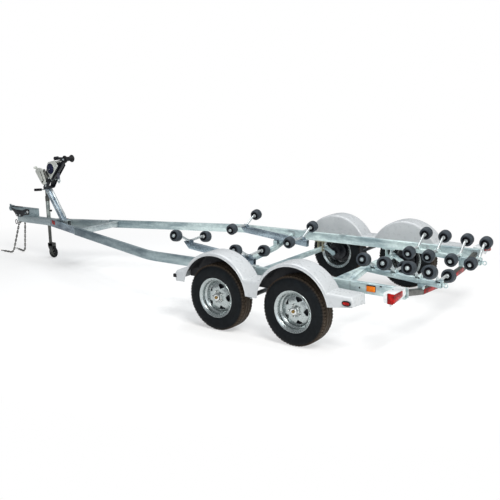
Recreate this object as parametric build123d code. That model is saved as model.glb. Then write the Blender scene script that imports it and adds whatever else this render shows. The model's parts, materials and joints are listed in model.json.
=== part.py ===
from build123d import *
import math
import os

os.makedirs("parts", exist_ok=True)

# Millimetres. +X points to the rear, +Y to starboard, +Z up, and the ground is at zero.
# Stations along X are measured from the point midway between the two axles.
AXLE_X = 2020.0
HALF_TURN = 180.0
SIDES = (-1, 1)
FIT = 0.08
SEAT = 0.3

# Road wheels and tyres
AXLE_SPACING = 900.0
HALF_TRACK = 1186.0
TYRE_R = 332.0
TYRE_W = 205.0
TREAD_W = 156.0
SHOULDER_DROP = 11.0
FLANK_R = 262.0
RIM_R = 201.0
RIM_W = 166.0
RIM_LIP = 7.0
RIM_T = 6.0
BEAD_R = 176.0
WELL_R = 150.0
WELL_W = 70.0
DISC_OUT = 34.0
DISC_T = 8.0
DISC_FACE = 44.0
WINDOWS = 5
WINDOW_IN_R = 92.0
WINDOW_OUT_R = 136.0
WINDOW_HALF_DEG = 21.0
LUG_RING_R = 57.0
LUG_R = 11.0
LUG_SIDES = 6
LUG_H = 20.0
HUB_R = 44.0
HUB_OUT = 72.0
HUB_IN = 46.0
CAP_R = 30.0
CAP_OUT = 92.0
SPINDLE_R = 22.0
SPINDLE_TIP = 40.0

# Torsion axles: a square tube ahead of each pair of spindles
TUBE_AHEAD = 100.0
TUBE_Z = 393.0
TUBE_W = 50.0
TUBE_HALF = 1000.0
ARM_T = 26.0
ARM_W = 58.0
FLANGE_Y = 1060.0
FLANGE_R = 64.0
FLANGE_T = 12.0
HANGER_L = 150.0
HANGER_W = 60.0
HANGER_T = 8.0
CLAMP_T = 10.0

# Main rails
RAIL_TOP = 597.0
RAIL_H = 102.0
RAIL_W = 51.0
RAIL_Y = 897.0
RAIL_REAR = 1385.0
BEND_X = -1690.0
BEND_R = 900.0
RAIL_SLOPE = 0.3116
RAIL_FRONT = -3590.0
RAIL_HOLE_X = 945.0
RAIL_HOLE_R = 9.0

# Tongue
TONGUE_W = 76.0
TONGUE_H = 100.0
TONGUE_FRONT = -5190.0
TONGUE_BACK = -4080.0
LEG_W = 43.0
LEG_H = 92.0
LEG_START = -4400.0

# Cross members
FRONT_CROSS_X = -3470.0
FRONT_CROSS_H = 76.0
FRONT_CROSS_W = 51.0
FRONT_CROSS_DROP = 5.4
DROP_W = 51.0
DROP_H = 56.0
DROP_KNEE_Y = 500.0
DROP_END_Z = 545.0
DROP_BEND_R = 90.0
FRONT_DROP_X = -950.0
FRONT_DROP_KNEE_Z = 444.0
FRONT_DROP_MID_Z = 398.0
REAR_DROP_X = 1352.0
REAR_DROP_KNEE_Z = 467.0
REAR_DROP_MID_Z = 437.0
STRIP_L = 300.0
STRIP_H = 42.0
STRIP_T = 3.0

# Fenders
FENDER_IN = 1064.0
FENDER_OUT = 1302.0
FENDER_T = 5.0
ARCH_R = 419.0
ARCH_LIP = 30.0
ARCH_Z = 370.0
VALLEY_Z = 571.0
VALLEY_BOTTOM = 385.0
FRONT_STEP_X = -958.0
FRONT_STEP_TOP = 557.0
FRONT_STEP_BOTTOM = 453.0
REAR_STEP_X = 1078.0
REAR_STEP_TOP = 566.0
REAR_STEP_END_BOTTOM = 475.0
REAR_STEP_BOTTOM = 442.0
FENDER_ROUND = 16.0
BRACKET_W = 40.0
BRACKET_H = 30.0

# Lamps
LAMP_Y = 1078.0
LAMP_W = 214.0
LAMP_H = 90.0
LAMP_L = 62.0
LAMP_BACK = 20.0
LAMP_Z = 568.0
LENS_T = 17.0
LENS_W = 178.0
LENS_OUT_H = 94.0
LENS_IN_H = 60.0
LAMP_WRAP = 46.0
AMBER_X = 1062.0
AMBER_Z = 553.0
AMBER_L = 92.0
AMBER_H = 62.0
AMBER_T = 12.0
OVAL_X = 1022.0
OVAL_Z = 503.0
OVAL_L = 88.0
OVAL_H = 46.0
OVAL_T = 12.0

# Roller beams: section, tilt and where they sit
BEAM_W = 51.0
BEAM_H = 76.0
BEAM_WALL = 6.0
BEAM_POCKET = 60.0
FRONT_BEAM_Y = 530.0
FRONT_BEAM_X = -990.0
FRONT_BEAM_L = 970.0
FRONT_BEAM_Z = 582.0
FRONT_TILT = 5.6
REAR_BEAM_Y = 500.0
REAR_BEAM_X = 1185.0
REAR_BEAM_L = 830.0
REAR_BEAM_H = 56.0
REAR_BEAM_Z = 568.5
REAR_TILT = 5.8
PIVOT_X = -950.0
PIVOT_Z = 512.0
PIVOT_R = 9.0
LUG_W = 40.0
LUG_ROUND = 20.0
CLEVIS_T = 7.0
CLEVIS_GAP = 5.0
OUTRIGGER_X = 792.0
OUTRIGGER_H = 51.0
OUTRIGGER_W = 45.0
REAR_PAD_X = 1352.0

# Hull rollers
ROLLER_R = 65.0
ROLLER_EDGE_R = 60.0
ROLLER_W = 78.0
ROLLER_DISH = 10.0
ROLLER_CORE_R = 30.0
ROD_R = 8.0
ROD_END = 12.0
CAP_NUT_R = 15.0
CAP_NUT_T = 7.0
HULL_RISE = 11.0
ELBOW = 34.0
BRACKET_L = 54.0
BRACKET_RISE = 20.0
FRONT_OUT_Y = 757.0
FRONT_IN_Y = 252.0
FRONT_OUT_Z = 731.0
FRONT_IN_Z = 631.0
REAR_OUT_Y = 708.0
REAR_IN_Y = 281.0
REAR_OUT_Z = 735.0
REAR_IN_Z = 606.0
REAR_ROW_X = 1200.0
REAR_ROW_TILT = 3.5
# name, station of each roller pair
FRONT_PAIRS = ((1, -1403.0), (2, -582.0))
REAR_PAIRS = ((1, 876.0), (2, 1086.0), (3, 1327.0), (4, 1525.0))
# Row name, distance off the centre line, height at the row's own station
FRONT_ROWS = (("outer", FRONT_OUT_Y, FRONT_OUT_Z), ("inner", FRONT_IN_Y, FRONT_IN_Z))
REAR_ROWS = (("outer", REAR_OUT_Y, REAR_OUT_Z), ("inner", REAR_IN_Y, REAR_IN_Z))
# Station and tilt of the rows, roller pairs, rows
ROLLER_ROWS = {
    "front": (FRONT_BEAM_X, FRONT_TILT, FRONT_PAIRS, FRONT_ROWS),
    "rear": (REAR_ROW_X, REAR_ROW_TILT, REAR_PAIRS, REAR_ROWS),
}

# Winch post, winch and bow stop
POST_FOOT_X = -4194.0
POST_TOP_X = -4496.0
POST_TOP_Z = 1040.0
POST_T = 51.0
POST_W = 90.0
POST_FOOT_L = 132.0
POST_FOOT_W = 117.0
WINCH_Y = 58.0
WINCH_T = 5.0
WINCH_BASE_X = -4476.0
WINCH_BASE_L = 70.0
WINCH_TIE_X = -4210.0
WINCH_TIE_Z = 1415.0
# Station and height of each corner of a side plate
WINCH_OUTLINE = (
    (-4516.0, 1014.0),
    (-4416.0, 1034.0),
    (-4318.0, 1172.0),
    (-4150.0, 1362.0),
    (-4162.0, 1388.0),
    (-4218.0, 1436.0),
    (-4345.0, 1416.0),
    (-4410.0, 1330.0),
    (-4478.0, 1170.0),
)
DRUM_X = -4345.0
DRUM_Z = 1312.0
DRUM_R = 56.0
DRUM_CORE_R = 46.0
DRUM_W = 84.0
DRUM_FLANGE_T = 4.0
SHAFT_R = 9.0
CRANK_X = -4425.0
CRANK_Z = 1140.0
CRANK_Y = 128.0
CRANK_L = 235.0
CRANK_W = 38.0
CRANK_T = 9.0
CRANK_TURN = 124.0
GRIP_R = 15.0
GRIP_L = 95.0
BOW_X = -4012.0
BOW_Z = 1462.0
BOW_R = 52.0
BOW_WAIST_R = 30.0
BOW_W = 150.0
BOW_PIN_R = 9.0
FORK_T = 7.0
STOP_W = 50.0
STOP_T = 44.0
STOP_FOOT_X = -4372.0
STOP_FOOT_Z = 1160.0
STOP_TAIL_X = -4262.0
STRAP_W = 44.0
STRAP_T = 4.0
HOOK_X = -4294.0
HOOK_Z = 1160.0

# Jack
JACK_X = -4620.0
JACK_R = 28.0
JACK_BORE_R = 23.5
LEG_R = 22.5
JACK_GAP = 14.0
JACK_BOTTOM = 468.0
JACK_MID = 850.0
JACK_TOP = 1005.0
JACK_HEAD_R = 24.0
HANDLE_TURN = 44.0
HANDLE_L = 150.0
HANDLE_BARE = 40.0
LEG_TOP = 560.0
LEG_BOTTOM = 216.0
JACK_WHEEL_R = 80.0
JACK_WHEEL_W = 44.0
JACK_TRAIL = 52.0
FORK_PLATE_T = 6.0
FORK_SIDE_GAP = 6.0
JACK_PIN_R = 8.0

# Coupler
COUPLER_FRONT = -5400.0
COUPLER_BACK = -4786.0
COUPLER_W = 84.0
COUPLER_TOP = 712.0
COUPLER_T = 6.0
BALL_R = 25.4
BALL_CLEAR = 0.6
SOCKET_Z = 622.0
NOSE_L = 130.0
NOSE_W = 82.0
LEVER_IN = 11.0
LEVER_T = 14.0
LEVER_H = 44.0
LEVER_RISE = 8.0
COUPLER_PINS = (-5250.0, -5225.0, -5130.0)
COUPLER_PIN_R = 11.0
PIN_PROUD = 8.0
# Station, and rise above the tongue, of each corner of the cut below the channel's front
CHIN_CUT = (
    (-5400.0, -4.0),
    (-5190.0, -4.0),
    (-5190.0, 6.0),
    (-5290.0, 34.0),
    (-5400.0, 60.0),
)
SOCKET_X = COUPLER_FRONT + NOSE_W / 2

# Safety chains
CHAIN_X = -5140.0
CHAIN_Y = 52.0
LINK_WIRE = 8.0
LINK_IN_L = 36.0
LINK_IN_W = 11.0
LINK_SLACK = 0.6
CHAIN_BEND_R = 150.0
CHAIN_LIE = 18.0
PORT_RUN = 300.0
STAR_RUN = 280.0
STAR_TURN = 16.0
HOOK_REACH = 60.0
HOOK_SPREAD = 24.0
# along, across: an open hook as parts of its reach and spread
HOOK_SHAPE = ((0.1, 0.0), (0.35, 0.3), (0.7, 0.5), (1.0, 0.0), (0.7, -0.5), (0.45, -0.4))


def at(x, y, z):
    """A place, with its station given from the middle of the axles."""
    return Pos(x + AXLE_X, y, z)


def block(x, y, z, lx, ly, lz):
    """A box centred on a place."""
    return at(x, y, z) * Box(lx, ly, lz)


def span_x(x0, x1, y, z, ly, lz):
    """A box that runs from station x0 to station x1."""
    return block((x0 + x1) / 2, y, z, x1 - x0, ly, lz)


def along(p, q):
    """A plane at p whose normal points to q, its local X level."""
    a = Vector(p[0] + AXLE_X, p[1], p[2])
    b = Vector(q[0] + AXLE_X, q[1], q[2])
    d = (b - a).normalized()
    level = Vector(0, 0, 1).cross(d)
    if level.length < 1e-6:
        level = Vector(1, 0, 0)
    return Plane(origin=a, x_dir=level, z_dir=d), (b - a).length


def bar(p, q, wide, high):
    """A straight bar of rectangular section between two places."""
    plane, length = along(p, q)
    return extrude(plane * Rectangle(wide, high), amount=length)


def rod(p, q, r):
    """A straight round rod between two places."""
    plane, length = along(p, q)
    return extrude(plane * Circle(r), amount=length)


def cyl_y(x, y0, y1, z, r):
    """A round pin along Y."""
    return rod((x, y0, z), (x, y1, z), r)


def spun(points, sign):
    """A profile of (outward, radius) pairs turned about Y through the origin."""
    pts = [(r, sign * w) for w, r in points]
    face = make_face(Polyline(*pts, close=True))
    return revolve(face, axis=Axis.Y, revolution_arc=360)


def fused(pieces):
    """All pieces joined as one shape."""
    out = pieces[0]
    for p in pieces[1:]:
        out = out + p
    return out


def save(name, shape):
    """Write one node to its file."""
    solids = shape.solids() if hasattr(shape, "solids") else shape
    body = solids[0] if len(solids) == 1 else Compound(children=list(solids))
    body.label = name
    export_step(body, f"parts/{name}.step")
    print(name, len(solids), round(sum(s.volume for s in solids) / 1e3))


def save_all(name, pieces):
    """Write separate solids of one node to its file."""
    solids = [s for p in pieces for s in p.solids()]
    body = Compound(children=solids)
    body.label = name
    export_step(body, f"parts/{name}.step")
    print(name, len(solids), round(sum(s.volume for s in solids) / 1e3))


# Road wheels
def tyre():
    half = TYRE_W / 2
    tread = TREAD_W / 2
    seat = RIM_W / 2 - RIM_LIP
    shoulder = TYRE_R - SHOULDER_DROP
    pts = [
        (-seat, BEAD_R + SEAT),
        (-seat, RIM_R + SEAT),
        (-half, FLANK_R),
        (-half + SHOULDER_DROP, shoulder - SHOULDER_DROP),
        (-tread, TYRE_R - SHOULDER_DROP / 4),
        (-tread / 2, TYRE_R),
        (tread / 2, TYRE_R),
        (tread, TYRE_R - SHOULDER_DROP / 4),
        (half - SHOULDER_DROP, shoulder - SHOULDER_DROP),
        (half, FLANK_R),
        (seat, RIM_R + SEAT),
        (seat, BEAD_R + SEAT),
    ]
    return spun(pts, 1)


def road_wheel(sign):
    lip = RIM_W / 2
    seat = lip - RIM_LIP
    well = WELL_W / 2
    slope = BEAD_R - WELL_R
    barrel = [
        (-lip, RIM_R),
        (-seat, RIM_R),
        (-seat, BEAD_R),
        (-well - slope / 2, BEAD_R),
        (-well, WELL_R),
        (well, WELL_R),
        (well + slope / 2, BEAD_R),
        (seat, BEAD_R),
        (seat, RIM_R),
        (lip, RIM_R),
        (lip, RIM_R - RIM_T),
        (seat, BEAD_R - RIM_T),
        (well + slope / 2, BEAD_R - RIM_T),
        (well, WELL_R - RIM_T),
        (-well, WELL_R - RIM_T),
        (-well - slope / 2, BEAD_R - RIM_T),
        (-seat, BEAD_R - RIM_T),
        (-lip, RIM_R - RIM_T),
    ]
    disc = [
        (DISC_OUT - DISC_T, WELL_R - RIM_T / 2),
        (DISC_OUT, WELL_R - RIM_T / 2),
        (DISC_FACE, WINDOW_IN_R - DISC_T),
        (DISC_FACE, HUB_R - DISC_T),
        (DISC_FACE - DISC_T, HUB_R - DISC_T),
        (DISC_FACE - DISC_T, WINDOW_IN_R - DISC_T),
    ]
    bore = SPINDLE_R + FIT
    hub = [
        (-HUB_IN, bore),
        (-HUB_IN, HUB_R + DISC_T),
        (DISC_FACE - DISC_T, HUB_R + DISC_T),
        (DISC_FACE, HUB_R),
        (HUB_OUT, HUB_R - DISC_T / 2),
        (HUB_OUT, CAP_R),
        (CAP_OUT, CAP_R * 4 / 5),
        (CAP_OUT, 0),
        (SPINDLE_TIP + FIT * 4, 0),
        (SPINDLE_TIP + FIT * 4, bore),
    ]
    shape = spun(barrel, sign) + spun(disc, sign) + spun(hub, sign)
    wide = math.radians(WINDOW_HALF_DEG)
    for k in range(WINDOWS):
        turn = k * 2 * HALF_TURN / WINDOWS
        cut = Polyline(
            (WINDOW_IN_R, 0),
            (WINDOW_OUT_R * math.cos(wide), WINDOW_OUT_R * math.sin(wide)),
            (WINDOW_OUT_R, 0),
            (WINDOW_OUT_R * math.cos(wide), -WINDOW_OUT_R * math.sin(wide)),
            close=True,
        )
        depth = extrude(Plane.XZ * make_face(cut), amount=DISC_FACE * 3, both=True)
        shape = shape - Rot(0, turn, 0) * depth
    for k in range(WINDOWS):
        turn = (2 * k + 1) * HALF_TURN / WINDOWS
        y0 = sign * (DISC_FACE - DISC_T / 2)
        y1 = sign * (DISC_FACE + LUG_H)
        hexagon = Plane.XZ * RegularPolygon(LUG_R, LUG_SIDES)
        nut = extrude(hexagon, amount=abs(y1 - y0) / 2, both=True)
        shape = shape + Rot(0, turn, 0) * Pos(LUG_RING_R, (y0 + y1) / 2, 0) * nut
    return shape


for x_sign, end in ((-1, "front"), (1, "rear")):
    for side, name in ((-1, "left"), (1, "right")):
        place = at(x_sign * AXLE_SPACING / 2, side * HALF_TRACK, TYRE_R)
        save(f"tyre_{end}_{name}", place * tyre())
        save(f"wheel_{end}_{name}", place * road_wheel(side))


# Main rails: one straight leg, one bend, one sloping leg to the tongue
def rail_y(x):
    """Half width of the frame at a station on the sloping leg."""
    return RAIL_Y + RAIL_SLOPE * (x - BEND_X)


RAIL_MID = RAIL_TOP - RAIL_H / 2


def rail(side):
    path = FilletPolyline(
        (RAIL_FRONT + AXLE_X, side * rail_y(RAIL_FRONT), RAIL_MID),
        (BEND_X + AXLE_X, side * RAIL_Y, RAIL_MID),
        (RAIL_REAR + AXLE_X, side * RAIL_Y, RAIL_MID),
        radius=BEND_R,
    )
    start = Plane(origin=path @ 0, x_dir=Vector(0, 0, 1), z_dir=path % 0)
    body = sweep(start * Rectangle(RAIL_H, RAIL_W), path=path)
    y0 = side * (RAIL_Y - RAIL_W)
    y1 = side * (RAIL_Y + RAIL_W)
    return body - cyl_y(RAIL_HOLE_X, y0, y1, RAIL_MID, RAIL_HOLE_R)


rails = {side: rail(side) for side in SIDES}
save("rail_left", rails[-1])
save("rail_right", rails[1])
both_rails = rails[-1] + rails[1]


# Tongue with its two legs
def tongue():
    body = span_x(TONGUE_FRONT, TONGUE_BACK, 0, RAIL_TOP - TONGUE_H / 2, TONGUE_W, TONGUE_H)
    for side in SIDES:
        p = (LEG_START, side * rail_y(LEG_START), RAIL_MID)
        q = (RAIL_FRONT, side * rail_y(RAIL_FRONT), RAIL_MID)
        body = body + bar(p, q, LEG_W, LEG_H)
    return body - both_rails


save("tongue", tongue())

front_cross_z = RAIL_TOP - FRONT_CROSS_H / 2 - FRONT_CROSS_DROP
front_cross_l = 2 * rail_y(FRONT_CROSS_X)
front_cross = block(FRONT_CROSS_X, 0, front_cross_z, FRONT_CROSS_W, front_cross_l, FRONT_CROSS_H)
save("front_cross_tube", front_cross - both_rails)


def drop_member(x, knee_z, mid_z):
    end_y = RAIL_Y
    path = FilletPolyline(
        (x + AXLE_X, -end_y, DROP_END_Z),
        (x + AXLE_X, -DROP_KNEE_Y, knee_z),
        (x + AXLE_X, 0, mid_z),
        (x + AXLE_X, DROP_KNEE_Y, knee_z),
        (x + AXLE_X, end_y, DROP_END_Z),
        radius=DROP_BEND_R,
    )
    start = Plane(origin=path @ 0, x_dir=Vector(1, 0, 0), z_dir=path % 0)
    body = sweep(start * Rectangle(DROP_W, DROP_H), path=path)
    slab = block(x, 0, DROP_END_Z, DROP_W * 2, 2 * (RAIL_Y - RAIL_W / 2), DROP_H * 12)
    return body & slab


def clevis(side):
    """Two plates that carry the front roller beam's pin."""
    gap = LUG_W / 2 + CLEVIS_GAP
    top = PIVOT_Z + LUG_ROUND
    low = FRONT_DROP_KNEE_Z
    out = []
    for s in SIDES:
        y = side * FRONT_BEAM_Y + s * (gap + CLEVIS_T / 2)
        out.append(block(PIVOT_X, y, (top + low) / 2, DROP_W, CLEVIS_T, top - low))
    pin = cyl_y(PIVOT_X, side * FRONT_BEAM_Y - gap - CLEVIS_T, side * FRONT_BEAM_Y + gap + CLEVIS_T,
                PIVOT_Z, PIVOT_R)
    return out + [pin]


front_drop = drop_member(FRONT_DROP_X, FRONT_DROP_KNEE_Z, FRONT_DROP_MID_Z)
for side in SIDES:
    front_drop = fused([front_drop] + clevis(side))
rear_drop = drop_member(REAR_DROP_X, REAR_DROP_KNEE_Z, REAR_DROP_MID_Z)
save_all("drop_crossmembers", [front_drop, rear_drop])


# Torsion axles
def axle(x):
    """A square tube, and at each end an arm, a brake flange and a spindle."""
    tube_x = x - TUBE_AHEAD
    body = block(tube_x, 0, TUBE_Z, TUBE_W, 2 * TUBE_HALF, TUBE_W)
    for side in SIDES:
        inner = side * TUBE_HALF
        outer = side * (TUBE_HALF + ARM_T)
        mid = (inner + outer) / 2
        tip = side * (HALF_TRACK + SPINDLE_TIP)
        body = body + bar((tube_x, mid, TUBE_Z), (x, mid, TYRE_R), ARM_T, ARM_W)
        body = body + cyl_y(tube_x, inner, outer, TUBE_Z, ARM_W / 2)
        body = body + cyl_y(x, inner, outer, TYRE_R, ARM_W / 2)
        body = body + cyl_y(x, inner, tip, TYRE_R, SPINDLE_R)
        body = body + cyl_y(x, side * FLANGE_Y, side * (FLANGE_Y + FLANGE_T), TYRE_R, FLANGE_R)
    return body


axle_places = [s * AXLE_SPACING / 2 for s in SIDES]
save_all("axles", [axle(x) for x in axle_places])


# Hangers that hold the axle tubes under the rails
def hanger(x, side):
    """A plate under the rail with one cheek before and one behind the tube."""
    y = side * RAIL_Y
    top = RAIL_TOP - RAIL_H - SEAT
    low = TUBE_Z - TUBE_W / 2
    body = block(x, y, top - HANGER_T / 2, HANGER_L, HANGER_W, HANGER_T)
    for s in SIDES:
        cheek_x = x + s * (TUBE_W / 2 + SEAT + HANGER_T / 2)
        body = body + block(cheek_x, y, (top + low) / 2, HANGER_T, HANGER_W, top - low)
    return body


save_all("hangers", [hanger(x - TUBE_AHEAD, side) for side in SIDES for x in axle_places])


# Fenders
def crowned(face, half_wide, edge):
    """An upright slab of a profile with its upper side edges taken off."""
    slab = extrude(Plane.XZ * face, amount=half_wide, both=True)
    sides = [e for e in slab.edges() if abs(e.center().Y) > half_wide - SEAT]
    upper = [e for e in sides if e.center().Z > REAR_STEP_END_BOTTOM]
    return chamfer(upper, edge)


def fender(side):
    half = AXLE_SPACING / 2

    def arch_x(z):
        return math.sqrt(ARCH_R ** 2 - (z - ARCH_Z) ** 2)

    top = ARCH_Z + ARCH_R
    f0 = (FRONT_STEP_X, FRONT_STEP_BOTTOM)
    f1 = (FRONT_STEP_X, FRONT_STEP_TOP)
    f2 = (-half - arch_x(FRONT_STEP_TOP), FRONT_STEP_TOP)
    v0 = (-half + arch_x(VALLEY_Z), VALLEY_Z)
    v1 = (half - arch_x(VALLEY_Z), VALLEY_Z)
    r0 = (half + arch_x(REAR_STEP_TOP), REAR_STEP_TOP)
    r1 = (REAR_STEP_X, REAR_STEP_TOP - LENS_T / 2)
    r2 = (REAR_STEP_X, REAR_STEP_END_BOTTOM)
    r3 = (half + ARCH_R, REAR_STEP_BOTTOM)
    low = VALLEY_BOTTOM
    pts = [
        Line(f0, f1),
        Line(f1, f2),
        ThreePointArc(f2, (-half, top), v0),
        Line(v0, v1),
        ThreePointArc(v1, (half, top), r0),
        Line(r0, r1),
        Line(r1, r2),
        Line(r2, r3),
        Line(r3, (half, low)),
        Line((half, low), (-half, low)),
        Line((-half, low), f0),
    ]
    face = make_face(pts).face()
    wide = FENDER_OUT - FENDER_IN
    hollow = offset(face, amount=-FENDER_T).face()
    shape = crowned(face, wide / 2, FENDER_ROUND)
    shape = shape - crowned(hollow, wide / 2 - FENDER_T, FENDER_ROUND - FENDER_T / 2)
    for s in SIDES:
        mouth = extrude(Plane.XZ * Circle(ARCH_R - ARCH_LIP), amount=FENDER_ROUND, both=True)
        shape = shape - Pos(s * half, side * wide / 2, ARCH_Z) * mouth
    mid = (FRONT_STEP_X + REAR_STEP_X) / 2
    length = REAR_STEP_X - FRONT_STEP_X - 2 * FENDER_T
    shape = shape - Pos(mid, 0, low) * Box(length, wide - 2 * FENDER_T, 2 * (REAR_STEP_END_BOTTOM - low))
    under = Pos(mid, -side * wide / 2, low) * Box(length * 2, wide, 2 * (FRONT_STEP_BOTTOM - low))
    shape = shape - under
    return at(0, side * (FENDER_IN + FENDER_OUT) / 2, 0) * shape


port_fender = fender(-1)
save("fender_left", port_fender)
save("fender_right", mirror(port_fender, about=Plane.XZ))

# Fender brackets: short arms to the skirts and one long arm under the valley
VALLEY_ARM_X = -20.0
VALLEY_ARM_Z = 414.0
ARM_XS = (-900.0, 880.0)
brackets = []
for side in SIDES:
    wall = RAIL_Y + RAIL_W / 2
    for x in ARM_XS:
        y = side * (wall + FENDER_IN) / 2
        reach = FENDER_IN - wall - 2 * SEAT
        brackets.append(block(x, y, RAIL_MID - BRACKET_H / 2, BRACKET_W, reach, BRACKET_H))
    drop_y = wall + SEAT + BRACKET_H / 4
    drop_h = RAIL_MID - VALLEY_ARM_Z + BRACKET_H
    drop = block(VALLEY_ARM_X, side * drop_y, (RAIL_MID + VALLEY_ARM_Z) / 2, BRACKET_W, BRACKET_H / 2, drop_h)
    reach = FENDER_OUT - FENDER_T - SEAT - drop_y
    arm = block(VALLEY_ARM_X, side * (drop_y + reach / 2), VALLEY_ARM_Z, BRACKET_W, reach, BRACKET_H)
    brackets.append(drop + arm)
save_all("fender_brackets", brackets)


# Lamps
LAMP_REAR = RAIL_REAR + LAMP_L / 2 - LAMP_BACK
LAMP_FRONT = LAMP_REAR - LAMP_L
LAMP_OUT = LAMP_Y + LAMP_W / 2
LAMP_IN = RAIL_Y + RAIL_W / 2


def lamp_housing(side):
    """A box on the rail's outer face, its foot cut away inboard, with a tab below."""
    mid_y = side * (LAMP_OUT + LAMP_IN) / 2
    body = span_x(LAMP_FRONT, LAMP_REAR, mid_y, LAMP_Z, LAMP_OUT - LAMP_IN - SEAT, LAMP_H)
    skirt = Polyline(
        (side * LAMP_IN, LAMP_Z - LAMP_H),
        (side * LAMP_OUT, LAMP_Z - LAMP_H),
        (side * LAMP_IN, LAMP_Z - LAMP_H / 4),
        close=True,
    )
    body = body - extrude(Plane.YZ * make_face(skirt), amount=2 * AXLE_X, both=True)
    tab_x = (LAMP_FRONT + LAMP_REAR) / 2
    tab_y = side * (LAMP_OUT - LAMP_W / 6)
    return body + block(tab_x, tab_y, LAMP_Z - LAMP_H / 2 - BRACKET_H / 2, OVAL_T, LAMP_W / 6, BRACKET_H)


def tail_lens(side):
    """A lens on the housing's rear face that wraps round its outer corner."""
    y1 = LAMP_OUT + LENS_T / 2
    y0 = y1 - LENS_W
    top = LAMP_Z + LENS_OUT_H / 2
    shape = Polyline(
        (side * y1, top - LENS_OUT_H),
        (side * y1, top),
        (side * y0, top - LENS_T / 4),
        (side * y0, top - LENS_IN_H),
        close=True,
    )
    slab = extrude(Plane.YZ * make_face(shape), amount=LENS_T + LAMP_WRAP)
    slab = at(LAMP_REAR - LAMP_WRAP, 0, 0) * slab
    core_y = side * (LAMP_IN + LAMP_OUT) / 2
    core_l = LAMP_REAR + SEAT - LAMP_FRONT
    core_w = LAMP_OUT - LAMP_IN + 2 * SEAT
    return slab - block(LAMP_FRONT + core_l / 2, core_y, LAMP_Z, core_l, core_w, 2 * LAMP_H)


def side_marker(side):
    face_y = side * (LAMP_IN + AMBER_T / 2)
    lens = block(AMBER_X, face_y, AMBER_Z, AMBER_L, AMBER_T, AMBER_H)
    return fillet(lens.edges().filter_by(Axis.Y), AMBER_T / 2)


def oval_lens(side):
    disc = extrude(Plane.XZ * SlotOverall(OVAL_L, OVAL_H), amount=OVAL_T / 2, both=True)
    return at(OVAL_X, side * (FENDER_OUT + OVAL_T / 2), OVAL_Z) * disc


def rear_strip(side):
    """A thin red strip along half of the rear dropped member."""
    x = REAR_DROP_X + DROP_W / 2 + STRIP_T / 2
    mid_z = (REAR_DROP_KNEE_Z + REAR_DROP_MID_Z) / 2
    rise = (REAR_DROP_KNEE_Z - REAR_DROP_MID_Z) * STRIP_L / DROP_KNEE_Y / 2
    p = (x, side * (DROP_KNEE_Y - STRIP_L) / 2, mid_z - rise)
    q = (x, side * (DROP_KNEE_Y + STRIP_L) / 2, mid_z + rise)
    return bar(p, q, STRIP_T, STRIP_H)


save_all("lamp_housings", [lamp_housing(side) for side in SIDES])
save_all("red_lenses", [make(side) for side in SIDES for make in (tail_lens, oval_lens, rear_strip)])
save_all("amber_lenses", [side_marker(side) for side in SIDES])


# Roller carriers: a tilted tube with a bent rod out to each roller
def beam_z(x, mid_x, mid_z, tilt):
    """Height along a tilted line at a station."""
    return mid_z - (x - mid_x) * math.tan(math.radians(tilt))


def hull_axis(side):
    """The roller axis, level fore and aft and rising outboard."""
    a = math.radians(HULL_RISE)
    return (0.0, side * math.cos(a), math.sin(a))


def shifted(p, d, amount):
    """A place moved along a direction."""
    return tuple(c + k * amount for c, k in zip(p, d))


def roller_places(end, side):
    """Row, number, station, y and z of the rollers of one carrier."""
    row_x, row_tilt, pairs, rows = ROLLER_ROWS[end]
    out = []
    for k, x in pairs:
        for row, y, mid_z in rows:
            out.append((row, k, x, side * y, beam_z(x, row_x, mid_z, row_tilt)))
    return out


def rods(end, side, beam_y, line, high):
    """A bent rod, a collar and an end cap for each roller of one beam."""
    out = []
    axis = hull_axis(side)
    for row, k, x, y, z in roller_places(end, side):
        s = 1 if row == "outer" else -1
        top = beam_z(x, *line) + high / 2
        hub = (x, y, z)
        near = shifted(hub, axis, -s * (ROLLER_W / 2 + ELBOW))
        far = shifted(hub, axis, s * (ROLLER_W / 2 + ROD_END))
        cap_end = shifted(far, axis, s * CAP_NUT_T)
        foot = (x, side * (beam_y + s * BEAM_W / 4), top + BRACKET_RISE / 2)
        out.append(rod(foot, near, ROD_R))
        out.append(rod(near, far, ROD_R))
        out.append(at(*near) * Sphere(ROD_R))
        out.append(rod(far, cap_end, CAP_NUT_R))
        collar = shifted(hub, axis, -s * (ROLLER_W / 2 + SEAT))
        collar_in = shifted(collar, axis, -s * CAP_NUT_T)
        out.append(rod(collar, collar_in, CAP_NUT_R))
    return out


def brackets_on(side, beam_y, line, high, pairs):
    """A saddle on the beam at each pair of rods."""
    saddle = Rot(0, line[2], 0) * Box(BRACKET_L, BEAM_W + 2 * BEAM_WALL, 2 * BRACKET_RISE)
    return [at(x, side * beam_y, beam_z(x, *line) + high / 2) * saddle for k, x in pairs]


def beam(side, beam_y, line, length, high, slant):
    """A tilted bar with open ends, its front end cut on the slant."""
    mid_x, mid_z, tilt = line
    body = Box(length, BEAM_W, high)
    pocket = Box(BEAM_POCKET * 2, BEAM_W - 2 * BEAM_WALL, high - 2 * BEAM_WALL)
    body = body - Pos(length / 2, 0, 0) * pocket - Pos(-length / 2, 0, 0) * pocket
    if slant:
        wedge = Polyline(
            (-length / 2, -high / 2),
            (-length / 2 + slant, -high / 2),
            (-length / 2, high / 4),
            close=True,
        )
        body = body - extrude(Plane.XZ * make_face(wedge), amount=BEAM_W, both=True)
    return at(mid_x, side * beam_y, mid_z) * Rot(0, tilt, 0) * body


FRONT_LINE = (FRONT_BEAM_X, FRONT_BEAM_Z, FRONT_TILT)
REAR_LINE = (REAR_BEAM_X, REAR_BEAM_Z, REAR_TILT)


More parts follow.
